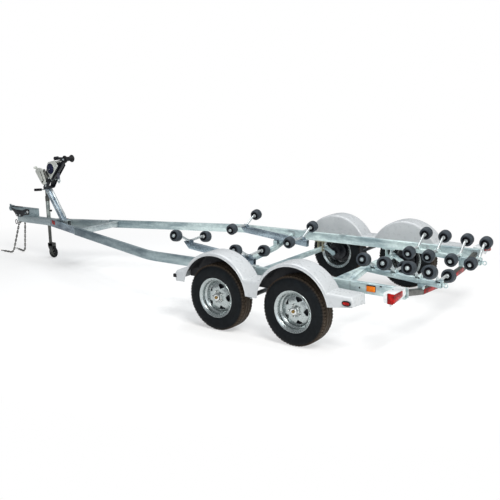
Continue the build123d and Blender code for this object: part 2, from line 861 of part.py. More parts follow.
def front_beam(side):
    """The tilting carrier: beam, ear with its pin hole, saddles and rods."""
    body = beam(side, FRONT_BEAM_Y, FRONT_LINE, FRONT_BEAM_L, BEAM_H, BEAM_H * 3 / 2)
    low = beam_z(PIVOT_X, *FRONT_LINE) - BEAM_H / 2
    ear_h = low - PIVOT_Z + BEAM_WALL
    ear = block(PIVOT_X, side * FRONT_BEAM_Y, (PIVOT_Z + low) / 2, 2 * LUG_ROUND, LUG_W, ear_h)
    y0 = side * FRONT_BEAM_Y - LUG_W / 2
    body = body + ear + cyl_y(PIVOT_X, y0, y0 + LUG_W, PIVOT_Z, LUG_ROUND)
    body = body - cyl_y(PIVOT_X, y0 - LUG_W, y0 + 2 * LUG_W, PIVOT_Z, PIVOT_R + FIT)
    body = fused([body] + brackets_on(side, FRONT_BEAM_Y, FRONT_LINE, BEAM_H, FRONT_PAIRS))
    return fused([body] + rods("front", side, FRONT_BEAM_Y, FRONT_LINE, BEAM_H))


def rear_beam(side):
    """The fixed carrier: beam, saddles, rods, pad and the arm to the rail."""
    body = beam(side, REAR_BEAM_Y, REAR_LINE, REAR_BEAM_L, REAR_BEAM_H, 0)
    body = fused([body] + brackets_on(side, REAR_BEAM_Y, REAR_LINE, REAR_BEAM_H, REAR_PAIRS))
    body = fused([body] + rods("rear", side, REAR_BEAM_Y, REAR_LINE, REAR_BEAM_H))
    low = beam_z(REAR_PAD_X, *REAR_LINE) - REAR_BEAM_H / 2 + BEAM_WALL / 2
    deck = REAR_DROP_KNEE_Z
    pad = block(REAR_PAD_X, side * REAR_BEAM_Y, (low + deck) / 2, DROP_W, BEAM_W, low - deck)
    body = body + (pad - rear_drop)
    p = (OUTRIGGER_X, side * RAIL_Y, RAIL_TOP - OUTRIGGER_H)
    q = (OUTRIGGER_X, side * REAR_BEAM_Y, beam_z(OUTRIGGER_X, *REAR_LINE))
    arm = bar(p, q, OUTRIGGER_W, OUTRIGGER_H) - both_rails
    inner = RAIL_Y - RAIL_W / 2
    keep_y = side * (inner + REAR_BEAM_Y) / 2
    keep = block(OUTRIGGER_X, keep_y, RAIL_MID, 4 * BEAM_W, inner - REAR_BEAM_Y, 4 * RAIL_H)
    return body + (arm & keep)


port_front = front_beam(-1)
save("front_beam_left", port_front)
save("front_beam_right", mirror(port_front, about=Plane.XZ))
port_rear = rear_beam(-1)
save_all("rear_beams", [port_rear, mirror(port_rear, about=Plane.XZ)])


# Hull rollers
def hull_roller():
    half = ROLLER_W / 2
    pts = [
        (-half, ROLLER_CORE_R),
        (-half, ROD_R + FIT),
        (half, ROD_R + FIT),
        (half, ROLLER_CORE_R),
        (half - ROLLER_DISH, ROLLER_CORE_R + ROLLER_DISH / 2),
        (half - ROLLER_DISH, ROLLER_EDGE_R - ROLLER_DISH),
        (half, ROLLER_EDGE_R - ROLLER_DISH / 2),
        (half - ROLLER_DISH / 2, ROLLER_EDGE_R),
        (half / 2, ROLLER_R),
        (-half / 2, ROLLER_R),
        (ROLLER_DISH / 2 - half, ROLLER_EDGE_R),
        (-half, ROLLER_EDGE_R - ROLLER_DISH / 2),
        (ROLLER_DISH - half, ROLLER_EDGE_R - ROLLER_DISH),
        (ROLLER_DISH - half, ROLLER_CORE_R + ROLLER_DISH / 2),
    ]
    return spun(pts, 1)


for end in ("front", "rear"):
    for side, name in ((-1, "left"), (1, "right")):
        for row, k, x, y, z in roller_places(end, side):
            place = at(x, y, z) * Rot(side * HULL_RISE, 0, 0)
            save(f"roller_{end}_{name}_{row}_{k}", place * hull_roller())


# Winch post
def post():
    p = (POST_FOOT_X, 0, RAIL_TOP)
    q = (POST_TOP_X, 0, POST_TOP_Z)
    d = Vector(q[0] - p[0], 0, q[2] - p[2]).normalized()
    low = shifted(p, (d.X, d.Y, d.Z), -POST_T)
    body = bar(low, q, POST_W, POST_T)
    floor = block(POST_FOOT_X, 0, RAIL_TOP - 2 * POST_T, 8 * POST_T, 2 * POST_W, 4 * POST_T)
    lid = block(POST_TOP_X, 0, POST_TOP_Z + POST_T, 4 * POST_T, 2 * POST_W, 2 * POST_T)
    body = body - floor - lid
    foot_x = POST_FOOT_X - CLAMP_T
    foot = block(foot_x, 0, RAIL_TOP + CLAMP_T / 4, POST_FOOT_L, POST_FOOT_W, CLAMP_T / 2)
    return body + foot


save("winch_post", post())


# Winch: two side plates with the shafts' holes
def winch_frame():
    outline = make_face(Polyline(*WINCH_OUTLINE, close=True))
    out = []
    for s in SIDES:
        plate = extrude(Plane.XZ * outline, amount=WINCH_T / 2, both=True)
        out.append(at(0, s * (WINCH_Y + WINCH_T / 2), 0) * plate)
    base_z = POST_TOP_Z + CLAMP_T + SEAT
    out.append(block(WINCH_BASE_X, 0, base_z, WINCH_BASE_L, 2 * WINCH_Y + WINCH_T, CLAMP_T * 2))
    out.append(cyl_y(WINCH_TIE_X, -WINCH_Y, WINCH_Y, WINCH_TIE_Z, SHAFT_R))
    body = fused(out)
    for x, z in ((DRUM_X, DRUM_Z), (CRANK_X, CRANK_Z)):
        body = body - cyl_y(x, -2 * WINCH_Y, 2 * WINCH_Y, z, SHAFT_R + FIT)
    return body


def winch_drum():
    half = DRUM_W / 2
    body = cyl_y(DRUM_X, -half, half, DRUM_Z, DRUM_CORE_R)
    for s in SIDES:
        body = body + cyl_y(DRUM_X, s * half, s * (half + DRUM_FLANGE_T), DRUM_Z, DRUM_R)
    reach = WINCH_Y + WINCH_T * 3
    body = body + cyl_y(DRUM_X, -reach, reach, DRUM_Z, SHAFT_R)
    return body


def winch_crank():
    body = cyl_y(CRANK_X, -CRANK_Y, WINCH_Y + WINCH_T * 3, CRANK_Z, SHAFT_R)
    body = body + cyl_y(CRANK_X, -WINCH_Y + WINCH_T, WINCH_Y - WINCH_T, CRANK_Z, SHAFT_R * 2)
    a = math.radians(CRANK_TURN)
    tip = (CRANK_X + CRANK_L * math.cos(a), -CRANK_Y, CRANK_Z + CRANK_L * math.sin(a))
    p = (CRANK_X, -CRANK_Y, CRANK_Z)
    body = body + bar(p, tip, CRANK_T, CRANK_W)
    body = body + cyl_y(CRANK_X, -CRANK_Y - CRANK_T, -CRANK_Y + CRANK_T, CRANK_Z, CRANK_W / 2)
    body = body + cyl_y(tip[0], -CRANK_Y - CRANK_T, -CRANK_Y + CRANK_T, tip[2], CRANK_W / 2)
    return body + cyl_y(tip[0], -CRANK_Y - GRIP_L, -CRANK_Y, tip[2], GRIP_R)


save("winch_frame", winch_frame())
save("winch_drum", winch_drum())
save("winch_crank", winch_crank())


# Bow stop
def bow_stop():
    half = BOW_W / 2 + CLEVIS_GAP
    back = BOW_X - BOW_R - CLEVIS_GAP * 3
    body = bar((STOP_FOOT_X, 0, STOP_FOOT_Z), (back, 0, BOW_Z - STOP_T / 4), STOP_W, STOP_T)
    tail = bar((STOP_TAIL_X, 0, BOW_Z), (back, 0, BOW_Z), STOP_T * 4 / 5, STOP_T * 4 / 5)
    cap = cyl_y(STOP_TAIL_X, -STOP_T * 3 / 4, STOP_T * 3 / 4, BOW_Z, STOP_T * 3 / 5)
    cross = span_x(back - FORK_T, back + FORK_T, 0, BOW_Z, 2 * half + 2 * FORK_T, STOP_T)
    held = WINCH_Y - SEAT
    grip = cyl_y(STOP_FOOT_X, -held, held, STOP_FOOT_Z, STOP_T / 3)
    hook_top = STOP_FOOT_Z + HOOK_X - STOP_FOOT_X - STOP_T
    strap = block(HOOK_X, 0, (hook_top + HOOK_Z) / 2, STRAP_T, STRAP_W, hook_top - HOOK_Z + STOP_T)
    ring = at(HOOK_X, 0, HOOK_Z - 2 * ROD_R) * Rot(90, 0, 0) * Torus(3 * ROD_R, ROD_R)
    body = body + tail + cap + cross + grip + strap + ring
    for s in SIDES:
        y = s * (half + FORK_T / 2)
        body = body + span_x(back, BOW_X + STOP_T / 2, y, BOW_Z, FORK_T, STOP_T)
    body = body + cyl_y(BOW_X, -half - 2 * FORK_T, half + 2 * FORK_T, BOW_Z, BOW_PIN_R)
    return body


def bow_roller():
    half = BOW_W / 2
    bore = BOW_PIN_R + FIT
    pts = [
        (-half, bore),
        (half, bore),
        (half, BOW_R * 4 / 5),
        (half - ROLLER_DISH, BOW_R),
        (half / 3, BOW_WAIST_R),
        (-half / 3, BOW_WAIST_R),
        (ROLLER_DISH - half, BOW_R),
        (-half, BOW_R * 4 / 5),
    ]
    return at(BOW_X, 0, BOW_Z) * spun(pts, 1)


save("bow_stop", bow_stop())
save("bow_roller", bow_roller())


# Jack on the starboard side of the tongue
JACK_Y = TONGUE_W / 2 + JACK_GAP + JACK_R


def jack_tube():
    """Tube with its brackets on the tongue, gear head and handle."""
    low = (JACK_X, JACK_Y, JACK_BOTTOM)
    mid = (JACK_X, JACK_Y, JACK_MID)
    body = rod(low, mid, JACK_R)
    bore_end = (JACK_X, JACK_Y, JACK_MID - JACK_R / 2)
    body = body - rod((JACK_X, JACK_Y, JACK_BOTTOM - JACK_R), bore_end, JACK_BORE_R)
    body = body + rod(mid, (JACK_X, JACK_Y, JACK_TOP), JACK_HEAD_R)
    body = body + block(JACK_X, JACK_Y, JACK_TOP, JACK_R * 2, JACK_R * 2, BRACKET_H)
    inner = JACK_GAP + JACK_R / 2
    core = rod(low, mid, JACK_R - SEAT * 2)
    for z in (RAIL_TOP - RAIL_H / 5, RAIL_TOP - RAIL_H * 4 / 5):
        plate = block(JACK_X, TONGUE_W / 2 + inner / 2, z, JACK_R * 4, inner, CLAMP_T)
        body = body + (plate - core)
    side_h = TONGUE_H * 4 / 5
    body = body + block(JACK_X, TONGUE_W / 2 + CLAMP_T / 4, RAIL_MID, JACK_R * 4, CLAMP_T / 2, side_h)
    a = math.radians(HANDLE_TURN)
    u = (-math.cos(a), -math.sin(a), 0)
    root = shifted((JACK_X, JACK_Y, JACK_TOP - CLAMP_T), u, JACK_R)
    tip = shifted(root, u, HANDLE_L)
    body = body + rod(root, tip, ROD_R)
    return body + rod(shifted(root, u, HANDLE_BARE), tip, GRIP_R)


def jack_leg():
    return rod((JACK_X, JACK_Y, LEG_BOTTOM), (JACK_X, JACK_Y, LEG_TOP), LEG_R)


FORK_TOP = LEG_BOTTOM - SEAT
WHEEL_X = JACK_X + JACK_TRAIL


def jack_fork():
    gap = JACK_WHEEL_W / 2 + FORK_SIDE_GAP
    roof = 2 * JACK_WHEEL_R + FORK_SIDE_GAP
    wide = 2 * (gap + FORK_PLATE_T)
    body = span_x(JACK_X - LEG_R, WHEEL_X + LEG_R, JACK_Y, (roof + FORK_TOP) / 2, wide, FORK_TOP - roof)
    cheek = Polyline(
        (JACK_X - LEG_R, FORK_TOP),
        (WHEEL_X + LEG_R, FORK_TOP),
        (WHEEL_X + LEG_R, JACK_WHEEL_R - LEG_R),
        (WHEEL_X - LEG_R, JACK_WHEEL_R - LEG_R),
        (JACK_X - LEG_R, roof),
        close=True,
    )
    plate = extrude(Plane.XZ * make_face(cheek), amount=FORK_PLATE_T / 2, both=True)
    for s in SIDES:
        body = body + at(0, JACK_Y + s * (gap + FORK_PLATE_T / 2), 0) * plate
    y0 = JACK_Y - gap - 2 * FORK_PLATE_T
    return body + cyl_y(WHEEL_X, y0, 2 * JACK_Y - y0, JACK_WHEEL_R, JACK_PIN_R)


def jack_wheel():
    half = JACK_WHEEL_W / 2
    bore = JACK_PIN_R + FIT
    r = JACK_WHEEL_R
    pts = [
        (-half, bore),
        (half, bore),
        (half, r / 3),
        (half - ROLLER_DISH, r / 2),
        (half, r - 2 * ROLLER_DISH),
        (half - ROLLER_DISH, r - SEAT),
        (half / 3, r),
        (-half / 3, r),
        (ROLLER_DISH - half, r - SEAT),
        (-half, r - 2 * ROLLER_DISH),
        (ROLLER_DISH - half, r / 2),
        (-half, r / 3),
    ]
    return at(WHEEL_X, JACK_Y, r) * spun(pts, 1)


save("jack_tube", jack_tube())
save("jack_leg", jack_leg())
save("jack_fork", jack_fork())
save("jack_wheel", jack_wheel())


# Coupler: a channel on the tongue with a solid nose and a latch
def coupler():
    """An open channel, a solid nose with its ball socket, a lever and cross pins."""
    low = RAIL_TOP
    high = COUPLER_TOP - low
    mid_z = low + high / 2
    body = span_x(COUPLER_FRONT + NOSE_L / 2, COUPLER_BACK, 0, mid_z, COUPLER_W, high)
    cave_w = COUPLER_W - 2 * COUPLER_T
    body = body - span_x(COUPLER_FRONT, COUPLER_BACK - COUPLER_T, 0, mid_z - COUPLER_T, cave_w, high)
    chin = make_face(Polyline(*[(x, low + rise) for x, rise in CHIN_CUT], close=True))
    body = body - at(0, 0, 0) * extrude(Plane.XZ * chin, amount=COUPLER_W, both=True)
    nose_z = (SOCKET_Z + COUPLER_TOP - BALL_R) / 2
    nose_h = COUPLER_TOP - SOCKET_Z + BALL_R
    body = body + span_x(COUPLER_FRONT + NOSE_L / 4, COUPLER_FRONT + NOSE_L, 0, nose_z, NOSE_W, nose_h)
    body = body + at(SOCKET_X, 0, nose_z) * Cylinder(NOSE_W / 2, nose_h)
    r = BALL_R + BALL_CLEAR
    body = body - at(SOCKET_X, 0, SOCKET_Z) * Sphere(r)
    body = body - rod((SOCKET_X, 0, SOCKET_Z - 4 * r), (SOCKET_X, 0, SOCKET_Z), r)
    lever_x = COUPLER_FRONT + LEVER_IN
    body = body + block(lever_x, 0, COUPLER_TOP + LEVER_RISE, LEVER_T, NOSE_W / 3, LEVER_H)
    reach = COUPLER_W / 2 + PIN_PROUD
    for x in COUPLER_PINS:
        body = body + cyl_y(x, -reach, reach, low + high / 3, COUPLER_PIN_R)
    return body


save("coupler", coupler())


# Safety chains: links along a hanging run, a bend and a run on the ground
def link():
    half = LINK_IN_L / 2
    w = LINK_IN_W / 2
    outer = Polyline(
        (-half - LINK_WIRE, 0),
        (-half, w + LINK_WIRE),
        (half, w + LINK_WIRE),
        (half + LINK_WIRE, 0),
        (half, -w - LINK_WIRE),
        (-half, -w - LINK_WIRE),
        close=True,
    )
    return extrude(make_face(outer) - Rectangle(LINK_IN_L, LINK_IN_W), amount=LINK_WIRE / 2, both=True)


CHAIN_TOP = RAIL_TOP - TONGUE_H - LINK_WIRE
CHAIN_FALL = CHAIN_TOP - CHAIN_BEND_R - CHAIN_LIE
CHAIN_ARC = CHAIN_BEND_R * math.pi / 2


def chain_place(s):
    """Run ahead, height and dip of the chain at a length s from its top."""
    if s < CHAIN_FALL:
        return 0.0, CHAIN_TOP - s, math.pi / 2
    if s < CHAIN_FALL + CHAIN_ARC:
        a = (s - CHAIN_FALL) / CHAIN_BEND_R
        return CHAIN_BEND_R * (1 - math.cos(a)), CHAIN_LIE + CHAIN_BEND_R * (1 - math.sin(a)), math.pi / 2 - a
    return CHAIN_BEND_R + s - CHAIN_FALL - CHAIN_ARC, CHAIN_LIE, 0.0


def chain(side, run, turn_deg):
    """Links from the tongue down to the ground and forward, then an open hook."""
    out = []
    pitch = LINK_IN_L - LINK_SLACK
    heading = math.radians(turn_deg)
    fx = -math.cos(heading)
    fy = math.sin(heading)
    count = int((CHAIN_FALL + CHAIN_ARC + run) / pitch)
    for k in range(count):
        ahead, z, dip = chain_place((k + 1 / 2) * pitch)
        d = Vector(fx * math.cos(dip), fy * math.cos(dip), -math.sin(dip))
        level = Vector(-fy, fx, 0)
        up = d.cross(level)
        tilt = math.pi / 4 + (k % 2) * math.pi / 2
        n = d.cross(level * math.cos(tilt) + up * math.sin(tilt))
        origin = (CHAIN_X + AXLE_X + fx * ahead, side * CHAIN_Y + fy * ahead, z)
        out.append(Plane(origin=origin, x_dir=d, z_dir=n).location * link())
    reach = CHAIN_BEND_R + count * pitch - CHAIN_FALL - CHAIN_ARC
    tip_x = CHAIN_X + fx * reach
    tip_y = side * CHAIN_Y + fy * reach
    bow = [(HOOK_REACH * u, HOOK_SPREAD * v) for u, v in HOOK_SHAPE]
    spots = [(tip_x + fx * u - fy * v, tip_y + fy * u + fx * v, CHAIN_LIE) for u, v in bow]
    pieces = [rod(p, q, LINK_WIRE / 2) for p, q in zip(spots, spots[1:])]
    pieces = pieces + [at(*p) * Sphere(LINK_WIRE / 2) for p in spots]
    out.append(fused(pieces))
    return out


links = chain(-1, PORT_RUN, 0.0) + chain(1, STAR_RUN, STAR_TURN)
eye_w = 2 * CHAIN_Y + 4 * LINK_WIRE
eye_plate = block(CHAIN_X, 0, RAIL_TOP - TONGUE_H - LINK_WIRE / 2, LINK_WIRE * 4, eye_w, LINK_WIRE)
save_all("safety_chains", links + [eye_plate])
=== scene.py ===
import json
import logging
import math
from dataclasses import dataclass, field
from enum import Enum
from typing import Dict, Iterable, List, Optional, Sequence, Tuple, Union

import bmesh
import bpy
import numpy as np
from mathutils import Matrix, Vector


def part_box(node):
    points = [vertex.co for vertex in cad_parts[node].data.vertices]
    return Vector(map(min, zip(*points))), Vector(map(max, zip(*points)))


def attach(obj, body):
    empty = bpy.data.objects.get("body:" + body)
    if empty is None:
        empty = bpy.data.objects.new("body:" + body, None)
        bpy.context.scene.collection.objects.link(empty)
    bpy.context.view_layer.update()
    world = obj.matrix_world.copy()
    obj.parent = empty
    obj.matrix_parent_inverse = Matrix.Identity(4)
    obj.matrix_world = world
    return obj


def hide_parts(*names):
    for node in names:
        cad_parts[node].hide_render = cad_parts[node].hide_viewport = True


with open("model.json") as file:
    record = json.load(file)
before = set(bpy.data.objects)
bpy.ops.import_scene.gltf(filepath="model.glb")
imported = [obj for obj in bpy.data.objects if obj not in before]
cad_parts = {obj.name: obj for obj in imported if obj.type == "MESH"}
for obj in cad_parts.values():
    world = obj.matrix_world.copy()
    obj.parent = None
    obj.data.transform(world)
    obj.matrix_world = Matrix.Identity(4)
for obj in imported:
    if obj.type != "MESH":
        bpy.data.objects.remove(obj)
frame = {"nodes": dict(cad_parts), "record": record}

LOG = logging.getLogger("boat_trailer")
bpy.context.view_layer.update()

Vec3 = Union[Tuple[float, float, float], np.ndarray]
Colour = Tuple[float, float, float]
Grid = np.ndarray
Key = Union[str, int]
Pair = Tuple[float, float]
Socket = bpy.types.NodeSocket

# Pieces are made with X counted from the middle of the axles, and moved by this to the frame's origin.
ORIGIN = np.array([2.020, 0.0, 0.0])
CHASSIS = "chassis"
# Half of the distance between the straight rails, middle to middle.
RAIL_Y = 0.897
# The pin of the starboard front carrier.
PIVOT = (-0.950, 0.530, 0.512)
# How far the hull rollers' axes rise outboard.
ROLLER_RISE = math.radians(11.0)
SIDES: Tuple[Tuple[int, str], ...] = ((-1, "left"), (1, "right"))
ENDS: Tuple[Tuple[int, str], ...] = ((-1, "front"), (1, "rear"))


def unit(v: Iterable[float]) -> np.ndarray:
    """Gives the vector at length one."""
    a = np.asarray(list(v), float)
    return a / np.linalg.norm(a)


# ---------------------------------------------------------------- surfaces


def rounded_section(width: float, height: float, corner: float, steps: int = 3) -> np.ndarray:
    """Outlines a rectangle with round corners.

    Each corner is a quarter circle about the corner of the rectangle made
    smaller by the radius, so the outline is four arcs joined by straights.

    Args:
        width: Size across.
        height: Size up.
        corner: Radius of the corners.
        steps: Divisions of each corner.

    Returns:
        Points of the closed outline, anticlockwise, one row each.
    """
    corner = min(corner, width * 0.499, height * 0.499)
    turn = np.linspace(0.0, math.pi / 2, steps + 1)
    angle = (np.arange(4)[:, None] * math.pi / 2 + turn[None, :]).ravel()
    cx = np.repeat(np.array([1, -1, -1, 1]) * (width / 2 - corner), steps + 1)
    cy = np.repeat(np.array([1, 1, -1, -1]) * (height / 2 - corner), steps + 1)
    return np.stack([cx + corner * np.cos(angle), cy + corner * np.sin(angle)], 1)


def rounded_outline(points: Sequence[Pair], radius: float, steps: int = 4) -> np.ndarray:
    """Rounds the corners of a closed flat outline.

    Each corner b becomes the quadratic curve (1-t)^2 p + 2t(1-t) b + t^2 q,
    where p and q lie on its two sides at the radius from it.

    Args:
        points: The corners as pairs.
        radius: How far along each side the rounding starts.
        steps: Divisions of each corner.

    Returns:
        Points of the outline, one row each.
    """
    b = np.asarray(points, float)
    before, after = np.roll(b, 1, 0) - b, np.roll(b, -1, 0) - b
    reach_b, reach_a = np.linalg.norm(before, axis=1), np.linalg.norm(after, axis=1)
    cut = np.minimum(radius, 0.45 * np.minimum(reach_b, reach_a))
    p = b + before * (cut / reach_b)[:, None]
    q = b + after * (cut / reach_a)[:, None]
    t = np.linspace(0.0, 1.0, steps + 1)[None, :, None]
    return ((1 - t) ** 2 * p[:, None] + 2 * t * (1 - t) * b[:, None] + t ** 2 * q[:, None]).reshape(-1, 2)


def whole_turn(steps: int) -> np.ndarray:
    """Gives even angles of one whole turn."""
    return np.linspace(0.0, 2 * math.pi, steps, endpoint=False)


def round_section(radius: float, steps: int = 16) -> np.ndarray:
    """Outlines a circle: (r cos t, r sin t) for evenly spaced t."""
    t = whole_turn(steps)
    return np.stack([radius * np.cos(t), radius * np.sin(t)], 1)


def bent_path(points: Sequence[Vec3], radius: float, steps: int = 8) -> np.ndarray:
    """Rounds the corners of a run of straights.

    At each corner the two tangent points lie radius * tan(half the turn) away
    from it, and the arc between them is the quadratic curve through them with
    the corner as its control point.

    Args:
        points: The corners, with the two ends.
        radius: Radius of the bends.
        steps: Divisions of each bend.

    Returns:
        Points along the path.
    """
    pts = [np.asarray(p, float) for p in points]
    out = [pts[0][None]]
    t = np.linspace(0.0, 1.0, steps + 1)[:, None]
    for a, b, c in zip(pts, pts[1:], pts[2:]):
        u, v = unit(a - b), unit(c - b)
        half = (math.pi - math.acos(float(np.clip(np.dot(u, v), -1, 1)))) / 2
        cut = min(radius * math.tan(half), np.linalg.norm(a - b) * 0.49, np.linalg.norm(c - b) * 0.49)
        start, end = b + u * cut, b + v * cut
        out.append((1 - t) ** 2 * start + 2 * t * (1 - t) * b + t ** 2 * end)
    out.append(pts[-1][None])
    return np.concatenate(out)


def carried(section: np.ndarray, path: Sequence[Vec3], up: Vec3 = (0, 0, 1), closed: bool = False) -> Grid:
    """Carries an outline along a path.

    Every point is path + across * side + rise * lift, where side is square to
    the path and to the up direction, and lift is square to both.

    Args:
        section: Outline points as (across, rise).
        path: Points of the path.
        up: Direction that the outline's rise leans to.
        closed: Whether the path joins its own start.

    Returns:
        A grid of points, rows along the path.
    """
    path = np.asarray(path, float)
    tangent = np.roll(path, -1, 0) - np.roll(path, 1, 0) if closed else np.gradient(path, axis=0)
    tangent /= np.linalg.norm(tangent, axis=1, keepdims=True)
    side = np.cross(tangent, np.asarray(up, float))
    side /= np.linalg.norm(side, axis=1, keepdims=True)
    lift = np.cross(side, tangent)
    if section.ndim == 2:
        section = np.broadcast_to(section, (len(path),) + section.shape)
    return (path[:, None, :] + section[:, :, 0, None] * side[:, None, :]
            + section[:, :, 1, None] * lift[:, None, :])


def circle(axis: Vec3, steps: int) -> np.ndarray:
    """Gives a circle of radius one about an axis: cos t * u + sin t * w, with u and w square to it."""
    a = unit(axis)
    u = unit(np.cross(a, (1.0, 0.0, 0.0) if abs(a[0]) < 0.9 else (0.0, 0.0, 1.0)))
    t = whole_turn(steps)[:, None]
    return np.cos(t) * u + np.sin(t) * np.cross(a, u)


def roller_axis(side: int) -> np.ndarray:
    """Gives the axis of a side's hull rollers, which rises outboard."""
    return np.array([0.0, side * math.cos(ROLLER_RISE), math.sin(ROLLER_RISE)])


def both_ways(side: Sequence[Pair]) -> List[Pair]:
    """Gives a profile followed by its mirror image, back to where it starts."""
    return list(side) + [(-along, radius) for along, radius in side[::-1]]


def turned(profile: Sequence[Pair], centre: Vec3, axis: Vec3, steps: int = 48) -> Grid:
    """Turns a profile about an axis.

    A pair (along, radius) becomes centre + along * axis + radius * (cos t * u
    + sin t * w), with u and w square to the axis.

    Args:
        profile: Pairs of distance along the axis and radius.
        centre: Where the distance along is nought.
        axis: Direction of the axis.
        steps: Divisions of the turn.

    Returns:
        A grid of points, rows along the profile.
    """
    profile = np.asarray(profile, float)
    return (np.asarray(centre, float) + profile[:, 0, None, None] * unit(axis)
            + profile[:, 1, None, None] * circle(axis, steps))


class Surface:
    """Grids of points that become one mesh."""

    def __init__(self) -> None:
        """Starts with no points."""
        self.points: List[np.ndarray] = []
        self.quads: List[np.ndarray] = []
        self.count = 0

    def add(self, grid: Grid, loop_rows: bool = False, loop_cols: bool = True) -> "Surface":
        """Adds a grid of points as a surface.

        Args:
            grid: Points, rows by columns by three.
            loop_rows: Whether the last row joins the first.
            loop_cols: Whether the last column joins the first.

        Returns:
            The surface itself.
        """
        rows, cols = grid.shape[:2]
        index = np.arange(rows * cols).reshape(rows, cols) + self.count
        if loop_rows:
            index = np.vstack([index, index[:1]])
        if loop_cols:
            index = np.hstack([index, index[:, :1]])
        quads = np.stack([index[:-1, :-1], index[1:, :-1], index[1:, 1:], index[:-1, 1:]], -1)
        self.points.append(grid.reshape(-1, 3))
        self.quads.append(quads.reshape(-1, 4))
        self.count += rows * cols
        return self

    def cap(self, ring: np.ndarray) -> "Surface":
        """Closes a ring with a fan to its middle."""
        return self.add(np.stack([ring, np.broadcast_to(ring.mean(0), ring.shape)]))

    def closed(self, grid: Grid) -> "Surface":
        """Adds a grid whose two end rows are capped."""
        return self.add(grid).cap(grid[0]).cap(grid[-1])

    def tube(self, path: Sequence[Vec3], width: float, height: float, corner: float, wall: float,
             up: Vec3 = (0, 0, 1)) -> "Surface":
        """Adds an open-ended hollow tube: two outlines carried along, joined at the ends."""
        outer = carried(rounded_section(width, height, corner), path, up)
        inner = carried(rounded_section(width - 2 * wall, height - 2 * wall, corner / 2), path, up)
        return self.add(np.concatenate([outer, inner[::-1]]), loop_rows=True)

    def bar(self, p: Vec3, q: Vec3, width: float, height: float, corner: float = 0.003,
            up: Vec3 = (0, 0, 1)) -> "Surface":
        """Adds a solid bar with rounded edges.

        Near each end the outline shrinks by r(1 - sin a) while it moves in by
        r(1 - cos a), which rounds the end's edges by the same radius r.
        """
        p, q = np.asarray(p, float), np.asarray(q, float)
        length = float(np.linalg.norm(q - p))
        r = min(corner, width * 0.45, height * 0.45, length * 0.45)
        a = np.linspace(0.0, math.pi / 2, 3)
        move, inset = r * (1 - np.cos(a)), r * (1 - np.sin(a))
        along = np.concatenate([move, length - move[::-1]])
        shrink = np.concatenate([inset, inset[::-1]])
        sections = np.stack([rounded_section(width - 2 * s, height - 2 * s, max(r - s, r * 0.05), 2)
                             for s in shrink])
        path = p + (along / length)[:, None] * (q - p)
        direction = (q - p) / length
        if abs(float(np.dot(direction, unit(up)))) > 0.99:
            up = (1, 0, 0)
        side = unit(np.cross(direction, up))
        lift = np.cross(side, direction)
        grid = (path[:, None, :] + sections[:, :, 0, None] * side + sections[:, :, 1, None] * lift)
        return self.closed(grid)

    def block(self, centre: Vec3, size: Vec3, corner: float = 0.003) -> "Surface":
        """Adds a box with rounded edges, its size along X, Y and Z."""
        x, y, z = centre
        return self.bar((x - size[0] / 2, y, z), (x + size[0] / 2, y, z), size[1], size[2], corner)

    def slab(self, outline: np.ndarray, axis: str, low: float, high: float, bevel: float) -> "Surface":
        """Adds a plate: a flat outline pushed along an axis, with its edges taken off.

        Near each face the outline moves towards its middle by b(1 - sin a)
        while the face comes in by b(1 - cos a), for a from nought to a quarter
        turn.

        Args:
            outline: Pairs in the plane square to the axis.
            axis: "x" for pairs of (y, z), "y" for (x, z), "z" for (x, y).
            low: One face's place along the axis.
            high: The other face's.
            bevel: Radius b of its edges.

        Returns:
            The surface itself.
        """
        low, high = sorted((low, high))
        a = np.linspace(0.0, math.pi / 2, 4)
        bevel = min(bevel, (high - low) * 0.45)
        move, inset = bevel * (1 - np.cos(a)), bevel * (1 - np.sin(a))
        level = np.concatenate([low + move, high - move[::-1]])
        shrink = np.concatenate([inset, inset[::-1]])
        middle = outline.mean(0)
        away = outline - middle
        reach = np.linalg.norm(away, axis=1, keepdims=True)
        flat = middle + away[None] * (1 - shrink[:, None, None] / np.maximum(reach[None], bevel * 2))
        depth = np.broadcast_to(level[:, None], flat.shape[:2])
        order = {"x": (depth, flat[..., 0], flat[..., 1]), "y": (flat[..., 0], depth, flat[..., 1]),
                 "z": (flat[..., 0], flat[..., 1], depth)}[axis]
        return self.closed(np.stack(order, -1))

    def rod(self, path: Sequence[Vec3], radius: float, steps: int = 12, up: Vec3 = (0, 0, 1)) -> "Surface":
        """Adds a round rod along a path, its ends closed."""
        return self.closed(carried(round_section(radius, steps), path, up))

    def disc(self, centre: Vec3, axis: Vec3, profile: Sequence[Pair], steps: int = 24) -> "Surface":
        """Adds a turned piece whose profile starts and ends on the axis or is capped there."""
        return self.closed(turned(profile, centre, axis, steps))

    def bolt(self, centre: Vec3, axis: Vec3, size: float) -> "Surface":
        """Adds a washer and a six-sided nut with a domed end, across flats by size."""
        r = size * 0.58
        self.disc(centre, axis, [(0, r * 1.45), (size * 0.12, r * 1.45), (size * 0.14, r * 1.3)], 16)
        self.disc(centre, axis, [
            (size * 0.13, r * 0.97), (size * 0.18, r), (size * 0.68, r), (size * 0.76, r * 0.82)], 6)
        self.disc(centre, axis, [(size * 0.7, r * 0.5), (size * 1.0, r * 0.5), (size * 1.06, r * 0.35)], 10)
        return self

    def ring(self, centre: Vec3, axis: Vec3, radius: float, wire: float, steps: int = 28) -> "Surface":
        """Adds a round ring of wire about an axis."""
        path = np.asarray(centre, float) + radius * circle(axis, steps)
        return self.add(carried(round_section(wire, 8), path, unit(axis), closed=True), loop_rows=True)

    def join(self, other: "Surface") -> "Surface":
        """Takes in another surface's grids."""
        self.points += other.points
        self.quads += [q + self.count for q in other.quads]
        self.count += other.count
        return self

    def lathe(self, profile: Sequence[Pair], centre: Vec3, axis: Vec3, steps: int = 48) -> "Surface":
        """Adds a turned ring whose profile closes on itself."""
        return self.add(turned(profile, centre, axis, steps), loop_rows=True)

